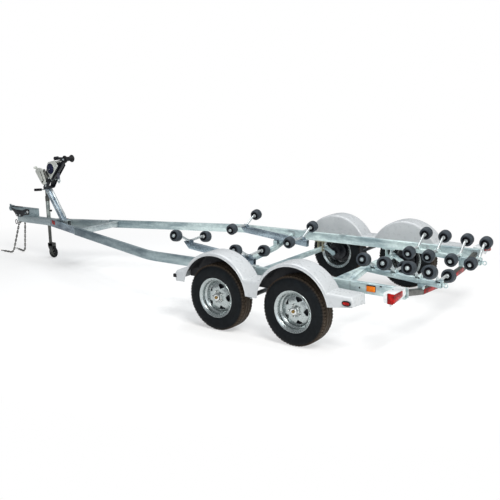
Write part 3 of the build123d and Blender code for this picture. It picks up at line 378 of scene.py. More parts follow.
    def dress(self, name: str, slot: "Finish", paint: Optional[str] = None, replaces: Sequence[str] = (),
              body: str = CHASSIS, sharp_deg: float = 38.0) -> bpy.types.Object:
        """Builds the mesh, gives it its material and body, and hides the CAD nodes that it replaces."""
        return dress(self.build(name, sharp_deg), body, slot, paint, replaces)

    def build(self, name: str, sharp_deg: float = 38.0, merge: float = 2e-5) -> bpy.types.Object:
        """Makes the mesh object, with doubles merged and faces pointing out.

        Args:
            name: Name of the object.
            sharp_deg: Edges that bend by more stay sharp.
            merge: Distance under which points become one.

        Returns:
            The new object, at the origin.
        """
        mesh = bpy.data.meshes.new(name)
        points = np.concatenate(self.points) + ORIGIN
        mesh.from_pydata(points.tolist(), [], np.concatenate(self.quads).tolist())
        work = bmesh.new()
        work.from_mesh(mesh)
        bmesh.ops.remove_doubles(work, verts=work.verts, dist=merge)
        bmesh.ops.dissolve_degenerate(work, edges=work.edges, dist=merge / 4)
        bmesh.ops.recalc_face_normals(work, faces=work.faces)
        work.to_mesh(mesh)
        work.free()
        mesh.shade_smooth()
        mesh.set_sharp_from_angle(angle=math.radians(sharp_deg))
        obj = bpy.data.objects.new(name, mesh)
        bpy.context.scene.collection.objects.link(obj)
        return obj


# ---------------------------------------------------------------- finishes


class Tree:
    """The nodes of a material, or of a world, while they are put together."""

    def __init__(self, name: str, world: bool = False) -> None:
        """Starts a material with one shader and its output, or a world."""
        self.material = (bpy.data.worlds if world else bpy.data.materials).new(name)
        self.material.use_nodes = True
        self.nodes = self.material.node_tree.nodes
        self.links = self.material.node_tree.links
        self.shader = self.nodes["Background" if world else "Principled BSDF"]
        self.place = self.nodes.new("ShaderNodeTexCoord").outputs["Object"]

    def set(self, **values: object) -> None:
        """Sets the shader's own sockets by name, with _ for a space."""
        for key, value in values.items():
            self.shader.inputs[key.replace("_", " ")].default_value = value

    def link(self, a: Socket, b: Socket) -> None:
        """Joins two sockets."""
        self.links.new(a, b)

    def node(self, kind: str, out: Key, inputs: Dict[Key, object],
             **options: object) -> Socket:
        """Adds a node.

        Args:
            kind: The node's type without "ShaderNode".
            out: Name or number of the output that is given back.
            inputs: A number, colour or other socket for each named or numbered input.
            **options: The node's own settings.

        Returns:
            The output.
        """
        node = self.nodes.new("ShaderNode" + kind)
        for key, value in options.items():
            setattr(node, key, value)
        for key, value in inputs.items():
            if isinstance(value, Socket):
                self.link(value, node.inputs[key])
            else:
                node.inputs[key].default_value = value
        return node.outputs[out]

    def mapped(self, scale: Vec3) -> Socket:
        """Gives the object's own coordinates stretched by a scale."""
        return self.node("Mapping", "Vector", {"Vector": self.place, "Scale": scale})

    def noise(self, scale: float, detail: float = 4.0, rough: float = 0.55,
              stretch: Vec3 = (1, 1, 1)) -> Socket:
        """Gives a cloudy pattern of about 1 / scale metres."""
        return self.node("TexNoise", "Fac", {
            "Vector": self.mapped(stretch), "Scale": scale, "Detail": detail, "Roughness": rough})

    def cells(self, scale: float, colour: bool = True) -> Socket:
        """Gives cells of about 1 / scale metres, each of its own value."""
        out = "Color" if colour else "Distance"
        return self.node("TexVoronoi", out, {"Vector": self.place, "Scale": scale})

    def waves(self, scale: float, direction: str) -> Socket:
        """Gives bands across a direction."""
        inputs = {"Vector": self.place, "Scale": scale}
        return self.node("TexWave", "Fac", inputs, bands_direction=direction)

    def ramp(self, fac: Socket,
             stops: Sequence[Tuple[float, Colour]]) -> Socket:
        """Turns a value into a colour by stops of (place, colour)."""
        node = self.nodes.new("ShaderNodeValToRGB")
        ramp = node.color_ramp
        while len(ramp.elements) < len(stops):
            ramp.elements.new(0.5)
        for element, (at, colour) in zip(ramp.elements, stops):
            element.position = at
            element.color = (*colour, 1.0)
        self.link(fac, node.inputs["Fac"])
        return node.outputs["Color"]

    def mix(self, fac: object, a: object, b: object, mode: str = "MIX") -> Socket:
        """Mixes two colours, each a socket or a colour, by a socket or a number."""
        a, b = ((*value, 1.0) if isinstance(value, tuple) else value for value in (a, b))
        return self.node("Mix", 2, {0: fac, 6: a, 7: b}, data_type="RGBA", blend_type=mode)

    def remap(self, value: Socket, low: float, high: float, to_low: float,
              to_high: float) -> Socket:
        """Stretches a value's range on to another."""
        return self.node("MapRange", "Result", {
            "Value": value, "From Min": low, "From Max": high, "To Min": to_low, "To Max": to_high})

    def bump(self, height: Socket, strength: float, distance: float,
             under: Optional[Socket] = None) -> Socket:
        """Adds relief to the surface, over another relief where one is given."""
        inputs = {"Height": height, "Strength": strength, "Distance": distance}
        return self.node("Bump", "Normal", {**inputs, "Normal": under} if under else inputs)

    def colour(self, socket: Socket) -> None:
        """Gives the shader its colour."""
        self.link(socket, self.shader.inputs["Base Color"])

    def rough(self, socket: Socket) -> None:
        """Gives the shader its roughness."""
        self.link(socket, self.shader.inputs["Roughness"])

    def relief(self, socket: Socket) -> None:
        """Gives the shader its relief."""
        self.link(socket, self.shader.inputs["Normal"])


@dataclass(frozen=True)
class Recipe:
    """What the procedural materials share."""

    name: str

    def fill(self, t: Tree) -> None:
        """Adds the nodes."""

    def make(self) -> bpy.types.Material:
        """Makes the material."""
        t = Tree(self.name)
        self.fill(t)
        return t.material


@dataclass(frozen=True)
class Galvanised(Recipe):
    """Hot-dip zinc: crystals of a few centimetres, grey streaks and a dull glint."""

    tint: Colour = (0.20, 0.265, 0.29)
    light: Colour = (0.50, 0.585, 0.585)
    crystal: float = 42.0
    rough_low: float = 0.30
    rough_high: float = 0.52
    metallic: float = 0.55
    # Strength of the painted light falloff; nought leaves it out.
    painted_falloff: float = 0.0

    def fill(self, t: Tree) -> None:
        """Adds the nodes; with a painted falloff, the zinc is painted darker towards the front of the port
        side and lighter towards the rear, as painted shade and painted light.
        """
        t.set(Metallic=self.metallic)
        streaks = t.noise(5.0, 6.0, 0.62, (0.35, 1.0, 2.2))
        base = t.ramp(streaks, [(0.38, self.tint), (0.62, self.light)])
        spangle = t.ramp(t.cells(self.crystal), [(0.0, (0.70, 0.72, 0.74)), (1.0, (1.12, 1.12, 1.1))])
        shown = t.mix(0.5, base, spangle, "MULTIPLY")
        if self.painted_falloff:
            # Painted light falloff: the colour is multiplied darker towards the front and the port side and
            # lighter towards the rear, in place of the lamps' falloff.
            across, rearward = (t.node("SeparateXYZ", key, {0: t.place}) for key in "YX")
            along = t.node("Math", 0, {0: across, 1: 1.8, 2: rearward}, operation="MULTIPLY_ADD")
            painted_falloff_place = t.remap(along, -2.1, 1.85, 0.0, 1.0)
            wear_and_painted_shade = tuple(1.0 - self.painted_falloff * k for k in (1.16, 1.06, 0.96))
            painted_light = tuple(1.0 + self.painted_falloff * k for k in (1.0, 1.0, 0.94))
            shown = t.mix(1.0, shown, t.ramp(painted_falloff_place, [(0.0, wear_and_painted_shade), (1.0, painted_light)]), "MULTIPLY")
        stain = t.ramp(t.noise(22.0, 8.0, 0.7), [(0.5, (1, 1, 1)), (0.74, (0.72, 0.75, 0.74))])
        t.colour(t.mix(0.55, shown, stain, "MULTIPLY"))
        t.rough(t.remap(t.noise(30.0, 5.0), 0.3, 0.7, self.rough_low, self.rough_high))
        fine = t.bump(t.noise(160.0, 3.0), 0.12, 0.002)
        t.relief(t.bump(t.cells(self.crystal, colour=False), 0.05, 0.004, fine))


@dataclass(frozen=True)
class Plated(Recipe):
    """Bright plate or chrome: near mirror, with faint clouding."""

    tint: Colour = (0.78, 0.79, 0.80)
    rough: float = 0.16
    metallic: float = 1.0

    def fill(self, t: Tree) -> None:
        """Adds the nodes."""
        t.set(Metallic=self.metallic)
        dull = tuple(c * 0.8 for c in self.tint)
        t.colour(t.ramp(t.noise(60.0, 6.0), [(0.35, dull), (0.65, self.tint)]))
        t.rough(t.remap(t.noise(90.0, 4.0), 0.3, 0.7, self.rough * 0.7, self.rough * 1.5))
        t.relief(t.bump(t.noise(240.0, 2.0), 0.06, 0.001))


@dataclass(frozen=True)
class Coated(Recipe):
    """Paint or powder coat with a fine orange-peel skin and slight dust."""

    tint: Colour = (0.006, 0.007, 0.010)
    dust: Colour = (0.020, 0.022, 0.027)
    rough: float = 0.38
    peel: float = 320.0

    def fill(self, t: Tree) -> None:
        """Adds the nodes."""
        t.set(Specular_IOR_Level=0.3)
        t.colour(t.ramp(t.noise(14.0, 7.0, 0.65), [(0.42, self.tint), (0.78, self.dust)]))
        t.rough(t.remap(t.noise(40.0, 4.0), 0.3, 0.7, self.rough * 0.85, self.rough * 1.25))
        t.relief(t.bump(t.noise(self.peel, 2.0), 0.12, 0.001))


@dataclass(frozen=True)
class Moulded(Recipe):
    """Glossy moulded plastic with faint mould haze."""

    tint: Colour = (0.50, 0.52, 0.53)
    shade: Colour = (0.445, 0.465, 0.48)
    rough: float = 0.3
    coat: float = 0.25

    def fill(self, t: Tree) -> None:
        """Adds the nodes."""
        t.set(Coat_Weight=self.coat, Coat_Roughness=0.12, IOR=1.49)
        t.colour(t.ramp(t.noise(3.0, 5.0, 0.6), [(0.35, self.shade), (0.7, self.tint)]))
        t.rough(t.remap(t.noise(25.0, 4.0), 0.3, 0.7, self.rough * 0.8, self.rough * 1.2))
        t.relief(t.bump(t.noise(40.0, 2.0), 0.012, 0.001))


@dataclass(frozen=True)
class Rubber(Recipe):
    """Moulded rubber: near black, dusty where an attribute marks the tread."""

    tint: Colour = (0.0028, 0.0040, 0.0050)
    wear_and_painted_shade: Colour = (0.052, 0.038, 0.026)
    rough: float = 0.55
    tread: bool = False

    def fill(self, t: Tree) -> None:
        """Adds the nodes."""
        t.set(Specular_IOR_Level=0.12)
        lighter = tuple(c * 1.9 for c in self.tint)
        base = t.ramp(t.noise(18.0, 6.0, 0.6), [(0.4, self.tint), (0.75, lighter)])
        if self.tread:
            base = t.mix(t.node("Attribute", "Fac", {}, attribute_name="tread"), base, self.wear_and_painted_shade)
        t.colour(base)
        t.rough(t.remap(t.noise(35.0, 4.0), 0.3, 0.7, self.rough * 0.85, self.rough * 1.2))
        t.relief(t.bump(t.noise(420.0, 3.0), 0.15, 0.0008))


@dataclass(frozen=True)
class Lens(Recipe):
    """Ribbed coloured lens: a fine prism pattern, deep in hue with brighter patches."""

    tint: Colour = (0.11, 0.0008, 0.0010)
    core: Colour = (0.50, 0.006, 0.004)
    rib: float = 110.0

    def fill(self, t: Tree) -> None:
        """Adds the nodes."""
        t.set(Specular_IOR_Level=0.25, IOR=1.4)
        t.colour(t.ramp(t.noise(26.0, 3.0), [(0.38, self.tint), (0.7, self.core)]))
        t.rough(t.remap(t.noise(50.0, 2.0), 0.3, 0.7, 0.25, 0.38))
        t.relief(t.bump(t.waves(self.rib, "Z"), 0.07, 0.001))


@dataclass(frozen=True)
class Webbing(Recipe):
    """Woven strap: crossing threads a few millimetres apart."""

    tint: Colour = (0.02, 0.022, 0.035)
    thread: Colour = (0.075, 0.08, 0.11)
    count: float = 90.0

    def fill(self, t: Tree) -> None:
        """Adds the nodes."""
        t.set(Roughness=0.85, Sheen_Weight=0.2)
        cross = t.mix(0.5, t.waves(self.count, "Y"), t.waves(self.count, "DIAGONAL"))
        t.colour(t.ramp(cross, [(0.3, self.tint), (0.75, self.thread)]))
        t.relief(t.bump(cross, 0.4, 0.001))


class Finish(Enum):
    """The trailer's finishes, each with the record's slot that it belongs to."""

    RAIL = "galvanised"
    ZINC = "zinc"
    BLACK = "black_steel"
    FENDER = "fender"
    TYRE = "tyre"
    RIM = "rim"
    ROLLER = "roller"
    STRAP = "strap"
    LAMP_BOX = "lamp_housing"
    RED = "red_lens"
    AMBER = "amber_lens"


@dataclass
class Paintbox:
    """Makes each material once and gives it out."""

    made: Dict[str, bpy.types.Material] = field(default_factory=dict)

    def recipes(self) -> Dict[str, Recipe]:
        """Lists the recipe of each named finish."""
        return {
            # The rails carry the painted light falloff: painted shade at the front of the port side, painted
            # light at the rear.
            "galvanised": Galvanised("galvanised_steel", painted_falloff=0.48),
            "zinc": Galvanised(
                "zinc_plate", (0.34, 0.40, 0.42), (0.58, 0.64, 0.64), 90.0, 0.25, 0.45, 0.7),
            "pale_zinc": Galvanised(
                "pale_zinc", (0.52, 0.54, 0.50), (0.68, 0.69, 0.64), 90.0, 0.3, 0.45, 0.35),
            "coupler_zinc": Galvanised(
                "coupler_zinc", (0.13, 0.18, 0.20), (0.30, 0.37, 0.39), 70.0, 0.3, 0.5, 0.5),
            "jack_zinc": Galvanised(
                "jack_zinc", (0.22, 0.26, 0.26), (0.46, 0.50, 0.46), 90.0, 0.25, 0.45, 0.6),
            # A near-black zinc, for the rear drop member, the jack's collar, leg and fork, and the crank
            # shaft.
            "dark_zinc": Galvanised(
                "dark_zinc", (0.045, 0.047, 0.045), (0.13, 0.13, 0.115), 90.0, 0.3, 0.5, 0.5),
            "chain_steel": Galvanised(
                "chain_steel", (0.08, 0.08, 0.075), (0.22, 0.215, 0.20), 120.0, 0.3, 0.5, 0.6),
            "yellow_zinc": Plated("yellow_zinc", (0.36, 0.34, 0.24), 0.4, 0.7),
            "navy_coat": Coated("navy_coat", (0.006, 0.008, 0.032), (0.011, 0.015, 0.055), 0.4),
            "hub_plastic": Coated("hub_plastic", (0.17, 0.17, 0.15), (0.24, 0.24, 0.22), 0.5),
            "black_steel": Coated("black_powder_coat"),
            "fender": Moulded("fender_plastic"),
            # Near black: painted shade under the fenders.
            "fender_painted_shade": Moulded(
                "fender_painted_shade", (0.030, 0.031, 0.034), (0.022, 0.022, 0.025), 0.7, 0.0),
            "tyre": Rubber("tyre_rubber", tread=True),
            "rim": Plated("rim_steel", (0.43, 0.475, 0.475), 0.25, 0.97),
            "chrome": Plated("hub_chrome", (0.66, 0.68, 0.67), 0.12),
            "brass": Plated("grease_cap_brass", (0.26, 0.17, 0.06), 0.3),
            "roller": Rubber("roller_rubber", (0.034, 0.041, 0.048), rough=0.45),
            "strap": Webbing("strap_webbing"),
            "lamp_housing": Galvanised(
                "lamp_plate", (0.62, 0.65, 0.66), (0.80, 0.82, 0.82), 60.0, 0.35, 0.5, 0.35),
            "red_lens": Lens("red_lens"),
            "amber_lens": Lens("amber_lens", (0.62, 0.13, 0.008), (0.80, 0.24, 0.02)),
            "roller_dish": Rubber("roller_dish", (0.008, 0.009, 0.011), rough=0.6),
            # A darker, bluer copy of the zinc: painted shade, for the port tongue leg, the front carriers
            # and the winch post.
            "shaded_zinc": Galvanised(
                "shaded_zinc", (0.095, 0.130, 0.170), (0.40, 0.49, 0.55), 34.0, 0.2, 0.4, 0.7),
            "rod_zinc": Galvanised(
                "rod_zinc", (0.46, 0.50, 0.51), (0.68, 0.71, 0.71), 150.0, 0.22, 0.38, 0.6),
            "black_rubber": Rubber("grip_rubber", (0.012, 0.012, 0.013)),
        }

    def get(self, key: str) -> bpy.types.Material:
        """Gives the material of a finish, made at its first use."""
        if key not in self.made:
            self.made[key] = self.recipes()[key].make()
        return self.made[key]


PAINT = Paintbox()


def dress(obj: bpy.types.Object, body: str, slot: Finish, paint: Optional[str] = None,
          replaces: Sequence[str] = ()) -> bpy.types.Object:
    """Gives a piece its material, from the paint or else its slot, and its body, and hides the CAD nodes
    that it replaces.

    Args:
        obj: The piece.
        body: The CAD body that it rides on.
        slot: The record's material slot.
        paint: Name of the finish, the slot's own where it is left out.
        replaces: CAD nodes that it stands for.

    Returns:
        The piece.
    """
    obj.data.materials.clear()
    obj.data.materials.append(PAINT.get(paint or slot.value))
    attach(obj, body)
    if replaces:
        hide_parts(*replaces)
    LOG.info("%s rides on %s", obj.name, body)
    return obj


@dataclass
class CadDress:
    """Gives every CAD node that stays in sight the finish of its slot."""

    def apply(self) -> None:
        """Assigns the materials through the nodes' own slots."""
        slots = {row["node"]: row["material_slot"] for row in frame["record"]["subparts"]}
        for name, node in frame["nodes"].items():
            material = PAINT.get(slots[name])
            if not node.material_slots:
                node.data.materials.append(material)
            for entry in node.material_slots:
                entry.material = material
        LOG.info("%d CAD nodes dressed", len(frame["nodes"]))


# ---------------------------------------------------------------- running gear


@dataclass
class RoadWheel:
    """One tyre on its steel wheel with windows, nuts, hub and grease cap."""

    x_sign: int
    end: str
    side: int
    side_name: str
    spacing: float = 0.900
    half_track: float = 1.186
    radius: float = 0.332
    width: float = 0.205
    tread_half: float = 0.080
    flank: float = 0.262
    bead: float = 0.186
    bead_half: float = 0.0765
    groove: float = 0.0075
    slots: int = 64
    rim_radius: float = 0.201
    rim_half: float = 0.0945
    windows: int = 5

    @property
    def tag(self) -> str:
        """The end of its names."""
        return f"{self.end}_{self.side_name}"

    @property
    def centre(self) -> np.ndarray:
        """Middle of the tyre."""
        return np.array([self.x_sign * self.spacing / 2, self.side * self.half_track, self.radius])

    def dress(self, shell: Surface, name: str, paint: str, replaces: str = "",
              sharp_deg: float = 32.0) -> None:
        """Dresses one of the wheel's steel pieces."""
        shell.dress(f"{name}_{self.tag}", Finish.RIM, paint, [f"{replaces}_{self.tag}"] if replaces else (),
                    f"road_wheel_{self.tag}", sharp_deg)

    def tyre_section(self) -> np.ndarray:
        """Outlines half the tyre's wall and tread and mirrors it.

        The flank is a quarter of a superellipse from the widest point up to
        the tread, and a quarter ellipse from there down to the bead.
        """
        half = self.width / 2
        up = np.linspace(0.0, math.pi / 2, 15)
        rise = self.radius - self.flank
        y_up = half * np.cos(up) ** 0.62
        r_up = self.flank + rise * np.sin(up) ** 0.66
        keep = y_up > self.tread_half * 0.985
        y_up, r_up = y_up[keep], r_up[keep]
        down = np.linspace(math.pi / 2, 0.0, 8, endpoint=False)
        y_down = self.bead_half + (half - self.bead_half) * np.cos(down)
        r_down = self.flank - (self.flank - self.bead) * np.sin(down)
        y_tread = np.linspace(self.tread_half * 0.96, -self.tread_half * 0.96, 43)
        r_tread = self.radius - 0.0035 * (np.abs(y_tread) / self.tread_half) ** 3
        y_side = np.concatenate([y_down, y_up])
        r_side = np.concatenate([r_down, r_up])
        r_side = r_side + 0.0012 * np.exp(-((r_side - 0.300) / 0.003) ** 2)
        y = np.concatenate([y_side, y_tread, -y_side[::-1]])
        r = np.concatenate([r_side, r_tread, r_side[::-1]])
        inner_y = np.array([-self.bead_half, 0.0, self.bead_half])
        inner_r = np.full(3, self.bead)
        return np.stack([np.concatenate([y, inner_y]), np.concatenate([r, inner_r])], 1)

    def tyre(self) -> None:
        """Makes the tyre.

        The tread's radius drops by the groove depth in three zigzag bands and
        in even slots across both shoulders.
        """
        section = self.tyre_section()
        turns = self.slots * 6
        theta = whole_turn(turns)
        y = np.repeat(section[:, 0, None], turns, 1)
        r = np.repeat(section[:, 1, None], turns, 1)
        tread = (np.abs(y) < self.tread_half * 0.97) & (r > self.radius - 0.008)
        zigzag = 0.0035 * (2 / math.pi) * np.arcsin(np.sin(theta * self.slots / 2))
        cut = np.zeros_like(r)
        for at in (-0.042, 0.0, 0.042):
            cut = np.maximum(cut, (np.abs(y - at - zigzag[None]) < 0.0048).astype(float))
        phase = (theta * self.slots / (2 * math.pi)) % 1.0
        shoulder = (np.abs(y) > 0.051) & (np.abs(y) < 0.096) & (r > self.radius - 0.022)
        cut = np.maximum(cut, (shoulder & (phase[None] < 0.3)).astype(float))
        r = r - self.groove * cut * (tread | shoulder)
        cx, cy, cz = self.centre
        grid = np.stack([cx + r * np.cos(theta)[None], cy + y, cz + r * np.sin(theta)[None]], -1)
        self.mark_tread(Surface().add(grid, loop_rows=True).dress(
            f"tyre_skin_{self.tag}", Finish.TYRE, None, [f"tyre_{self.tag}"],
            f"road_wheel_{self.tag}", 30.0))

    def mark_tread(self, obj: bpy.types.Object) -> None:
        """Marks points near the tread, so that the rubber there is dusty."""
        mesh = obj.data
        co = np.zeros(len(mesh.vertices) * 3, np.float32)
        mesh.vertices.foreach_get("co", co)
        co = co.reshape(-1, 3)
        cx, _, cz = self.centre + ORIGIN
        reach = np.hypot(co[:, 0] - cx, co[:, 2] - cz)
        mark = np.clip((reach - (self.radius - 0.020)) / 0.014, 0.0, 1.0)
        layer = mesh.attributes.new("tread", "FLOAT", "POINT")
        layer.data.foreach_set("value", mark.astype(np.float32))

    def disc_grid(self) -> Grid:
        """Gives the wheel disc with its windows.

        For each sector the angle runs from the window's half width w(r) to
        the sector's end less w(r); w is nought off the window's ring, so the
        sectors close there and leave the windows open between.
        """
        r = np.concatenate([np.linspace(0.040, 0.086, 6), np.linspace(0.0885, 0.137, 18), [0.1395, 0.146]])
        u = np.clip((r - 0.0885) / (0.137 - 0.0885), 0, 1)
        half_window = math.radians(22.0) * u ** 0.75 * np.sqrt(np.clip(1 - u ** 7, 0, 1))
        sector = 2 * math.pi / self.windows
        c = np.linspace(0.0, 1.0, 15)
        first = half_window[:, None] + c[None] * (sector - 2 * half_window[:, None])
        starts = np.arange(self.windows) * sector
        theta = first[None] + starts[:, None, None]
        ramp = np.clip((r - 0.088) / (0.146 - 0.088), 0, 1)
        out = 0.044 - 0.016 * ramp ** 1.4 - 0.006 * np.clip((0.062 - r) / 0.022, 0, 1)
        crease = 0.004 * np.sin(math.pi * u)[:, None] * (np.abs(2 * c - 1) ** 6)[None]
        y = out[:, None] + crease
        cx, cy, cz = self.centre
        x = cx + r[None, :, None] * np.cos(theta)
        z = cz + r[None, :, None] * np.sin(theta)
        return np.stack([x, np.broadcast_to(cy + self.side * y[None], x.shape), z], -1)

    def wheel(self) -> None:
        """Makes the barrel, disc, nuts, hub and cap."""
        s = self.side
        lip, rad = self.rim_half, self.rim_radius
        barrel = [
            (-lip, rad - 0.002), (-lip + 0.002, rad), (-lip + 0.006, rad), (-lip + 0.009, rad - 0.008),
            (-lip + 0.011, 0.180), (-lip + 0.030, 0.176), (-lip + 0.040, 0.168), (-0.034, 0.152),
            (0.022, 0.150), (0.034, 0.158), (0.045, 0.172), (lip - 0.011, 0.178),
            (lip - 0.009, rad - 0.008), (lip - 0.006, rad), (lip - 0.002, rad), (lip, rad - 0.002),
            (lip, rad - 0.005), (lip - 0.004, rad - 0.010), (lip - 0.010, 0.174), (lip - 0.016, 0.170),
            (0.047, 0.168), (0.038, 0.156), (0.024, 0.146), (-0.034, 0.146), (-lip + 0.040, 0.162),
            (-lip + 0.012, 0.172), (-lip + 0.004, rad - 0.010), (-lip, rad - 0.005),
        ]
        self.dress(Surface().lathe(barrel, self.centre, (0, s, 0), 96), "rim_barrel", "rim", "wheel", 45.0)
        sheets = Surface()
        for sheet in self.disc_grid():
            sheets.add(sheet, loop_cols=False)
        disc = sheets.build(f"rim_disc_{self.tag}", 45.0, 1e-4)
        wall = disc.modifiers.new("wall", "SOLIDIFY")
        wall.thickness = 0.006
        wall.offset = 0.0
        dress(disc, f"road_wheel_{self.tag}", Finish.RIM)
        cx, cy, cz = self.centre
        fittings = Surface()
        for k in range(self.windows):
            a = (k + 0.5) * 2 * math.pi / self.windows
            place = (cx + 0.057 * math.cos(a), cy + s * 0.043, cz + 0.057 * math.sin(a))
            fittings.disc(place, (0, s, 0), [(0, 0.0145), (0.003, 0.0145), (0.004, 0.013)], 16)
            fittings.disc(place, (0, s, 0), [(0.003, 0.0105), (0.016, 0.0105), (0.019, 0.009)], 6)
            fittings.disc(place, (0, s, 0), [
                (0.015, 0.0085), (0.022, 0.008), (0.026, 0.0055), (0.0275, 0.002)], 12)
        fittings.disc(self.centre, (0, s, 0), [
            (0.036, 0.043), (0.047, 0.043), (0.051, 0.041), (0.053, 0.037), (0.070, 0.0355), (0.076, 0.033),
            (0.079, 0.028), (0.079, 0.024)], 40)
        self.dress(fittings, "hub_and_nuts", "chrome")
        cap = Surface().disc(self.centre, (0, s, 0), [
            (0.077, 0.0165), (0.086, 0.016), (0.090, 0.014), (0.0915, 0.010), (0.092, 0.004)], 28)
        self.dress(cap, "grease_cap", "brass")
        inner = Surface().disc(self.centre, (0, s, 0), [
            (-0.052, 0.060), (-0.046, 0.102), (-0.004, 0.105), (-0.003, 0.136), (0.002, 0.136),
            (0.018, 0.060), (0.036, 0.052)], 40)
        self.dress(inner, "brake_drum", "black_steel")

    def make(self) -> None:
        """Makes the whole wheel."""
        self.tyre()
        self.wheel()


# ---------------------------------------------------------------- fenders


@dataclass
class Fender:
    """A twin-arch fender: a crowned top carried round the arches, with skirts and an inner wall."""

    side: int
    side_name: str
    inner: float = 1.064
    outer: float = 1.302
    arch: float = 0.419
    lip: float = 0.030
    arch_z: float = 0.370
    half_spacing: float = 0.450
    valley_z: float = 0.571
    valley_low: float = 0.412
    front_x: float = -0.942
    front_top: float = 0.557
    front_low: float = 0.453
    rear_x: float = 1.078
    rear_top: float = 0.566
    rear_end_low: float = 0.475
    rear_low: float = 0.442
    wall_low: float = 0.453
    roll: float = 0.026
    crease: float = 0.0016

    def arc(self, sign: int, radius: float, start: float, end: float, count: int) -> np.ndarray:
        """Gives points on a circle about one wheel, the last left out."""
        a = np.linspace(start, end, count, endpoint=False)
        x, z = sign * self.half_spacing, self.arch_z
        return np.stack([x + radius * np.cos(a), z + radius * np.sin(a)], 1)

    def outline(self) -> Tuple[np.ndarray, np.ndarray]:
        """Gives matched points of the top line and of the skirt's lower edge.

        On an arch both are circles about the wheel, of the arch's radius and
        of that less the lip, at the same angle. On the steps and the valley
        the top is straight, and the edge runs on down the opening. Each end
        turns down by a quarter circle of the roll radius.

        Returns:
            Two arrays of (x, z), one row for each station.
        """
        z0, big, small = self.arch_z, self.arch, self.arch - self.lip
        a_front = math.pi - math.asin((self.front_top - z0) / big)
        a_val = math.asin((self.valley_z - z0) / big)
        a_rear = math.asin((self.rear_top - z0) / big)
        b_front = math.pi - math.asin((self.front_low - z0) / small)
        b_low = math.asin((self.valley_low - z0) / small)
        b_rear = math.asin((self.rear_low - z0) / small)

        def line(p: Sequence[float], q: Sequence[float], n: int) -> np.ndarray:
            """Gives n even points from p to q, the last left out."""
            t = np.linspace(0, 1, n, endpoint=False)[:, None]
            return np.asarray(p) * (1 - t) + np.asarray(q) * t

        turn = np.linspace(0.0, math.pi / 2, 6)
        r = self.roll * 0.7
        mirror = np.array([-1, 1])
        n_step, n_arch, n_val, n_rear = 8, 48, 22, 14
        fall = np.stack([r * (1 - np.sin(turn)), -r * (1 - np.cos(turn))], 1)[::-1]
        start_top = (self.front_x, self.front_top) + fall
        start_low = np.stack([start_top[:, 0], np.full(6, self.front_low)], 1)
        edge_front = self.arc(-1, small, b_front, b_front + 1, 1)[0]
        corner_front = self.arc(-1, big, a_front, a_front + 1, 1)[0]
        a_mid = a_val + 0.10
        v0 = self.arc(-1, big, a_val, a_val + 1, 1)[0]
        down = self.arc(-1, small, a_mid, b_low - (a_mid - b_low) / 8, 9)
        across = line(down[-1], down[-1] * mirror, n_val - 16)[1:]
        valley_low = np.concatenate([down, across, down[::-1] * mirror])[:n_val + 1]
        edge_rear = self.arc(1, small, b_rear, b_rear + 1, 1)[0]
        corner_rear = self.arc(1, big, a_rear, a_rear + 1, 1)[0]
        end_top = (self.rear_x, self.rear_top - 0.008) + fall[::-1] * mirror
        end_low = np.stack([end_top[:, 0], np.full(6, self.rear_end_low)], 1)
        top = [start_top, line(start_top[-1], corner_front, n_step)[1:],
               self.arc(-1, big, a_front, a_val, n_arch), line(v0, v0 * mirror, n_val + 1),
               self.arc(1, big, math.pi - a_val, a_rear, n_arch),
               line(corner_rear, end_top[0], n_rear), end_top]
        low = [start_low, line(start_low[-1], edge_front, n_step)[1:],
               self.arc(-1, small, b_front, a_mid, n_arch), valley_low,
               self.arc(1, small, math.pi - a_mid, b_rear, n_arch),
               line(edge_rear, end_low[0], n_rear), end_low]
        return np.concatenate(top), np.concatenate(low)

    def profile(self, top: np.ndarray, low: np.ndarray) -> Grid:
        """Gives the skin: inner wall, rolled edges, crowned top and skirt.

        The inner half of each section goes straight down from the top line to
        the wall's low edge; the outer half goes from the top line towards the
        opening's edge. Two faint creases run along the top.
        """
        n = len(top)
        down = low - top
        depth = np.linalg.norm(down, axis=1)
        down = down / depth[:, None]
        roll, width = self.roll, self.outer - self.inner
        quarter = np.linspace(0.0, math.pi / 2, 7)
        plumb = np.broadcast_to(np.array([0.0, -1.0]), (n, 2))
        wall_depth = np.maximum(top[:, 1] - self.wall_low, roll + 0.004)
        rows = []
        for f in (1.0, 0.66, 0.33):
            rows.append((self.inner, roll + (wall_depth - roll) * f, plumb))
        for a in quarter[::-1]:
            fall = np.full(n, roll * (1 - math.cos(a)))
            rows.append((self.inner + roll * (1 - math.sin(a)), fall, plumb))
        for f in np.linspace(0.0, 1.0, 25)[1:-1]:
            lift = -0.004 * math.sin(math.pi * f)
            lift += self.crease * sum(math.exp(-((f - at) / 0.02) ** 2) for at in (0.22, 0.80))
            rows.append((self.inner + roll + (width - 2 * roll) * f, np.full(n, lift), down))
        for a in quarter:
            rows.append((self.outer - roll * (1 - math.sin(a)), np.full(n, roll * (1 - math.cos(a))), down))
        for f in np.linspace(0.0, 1.0, 9)[1:]:
            rows.append((self.outer - 0.0025 * math.sin(math.pi * f), roll + (depth - roll) * f, down))
        grid = [np.stack([top[:, 0] + d * way[:, 0], np.full(n, self.side * y),
                          top[:, 1] + d * way[:, 1]], -1) for y, d, way in rows]
        return np.stack(grid, 1)

    def make(self) -> None:
        """Makes the skin, its two end faces, and a near-black sheet just under it that paints the shade
        beneath the fender.
        """
        top, low = self.outline()
        grid = self.profile(top, low)
        name = self.side_name
        Surface().add(grid, loop_cols=False).cap(grid[0]).cap(grid[-1]).dress(
            f"fender_skin_{name}", Finish.FENDER, replaces=[f"fender_{name}"], sharp_deg=50.0)
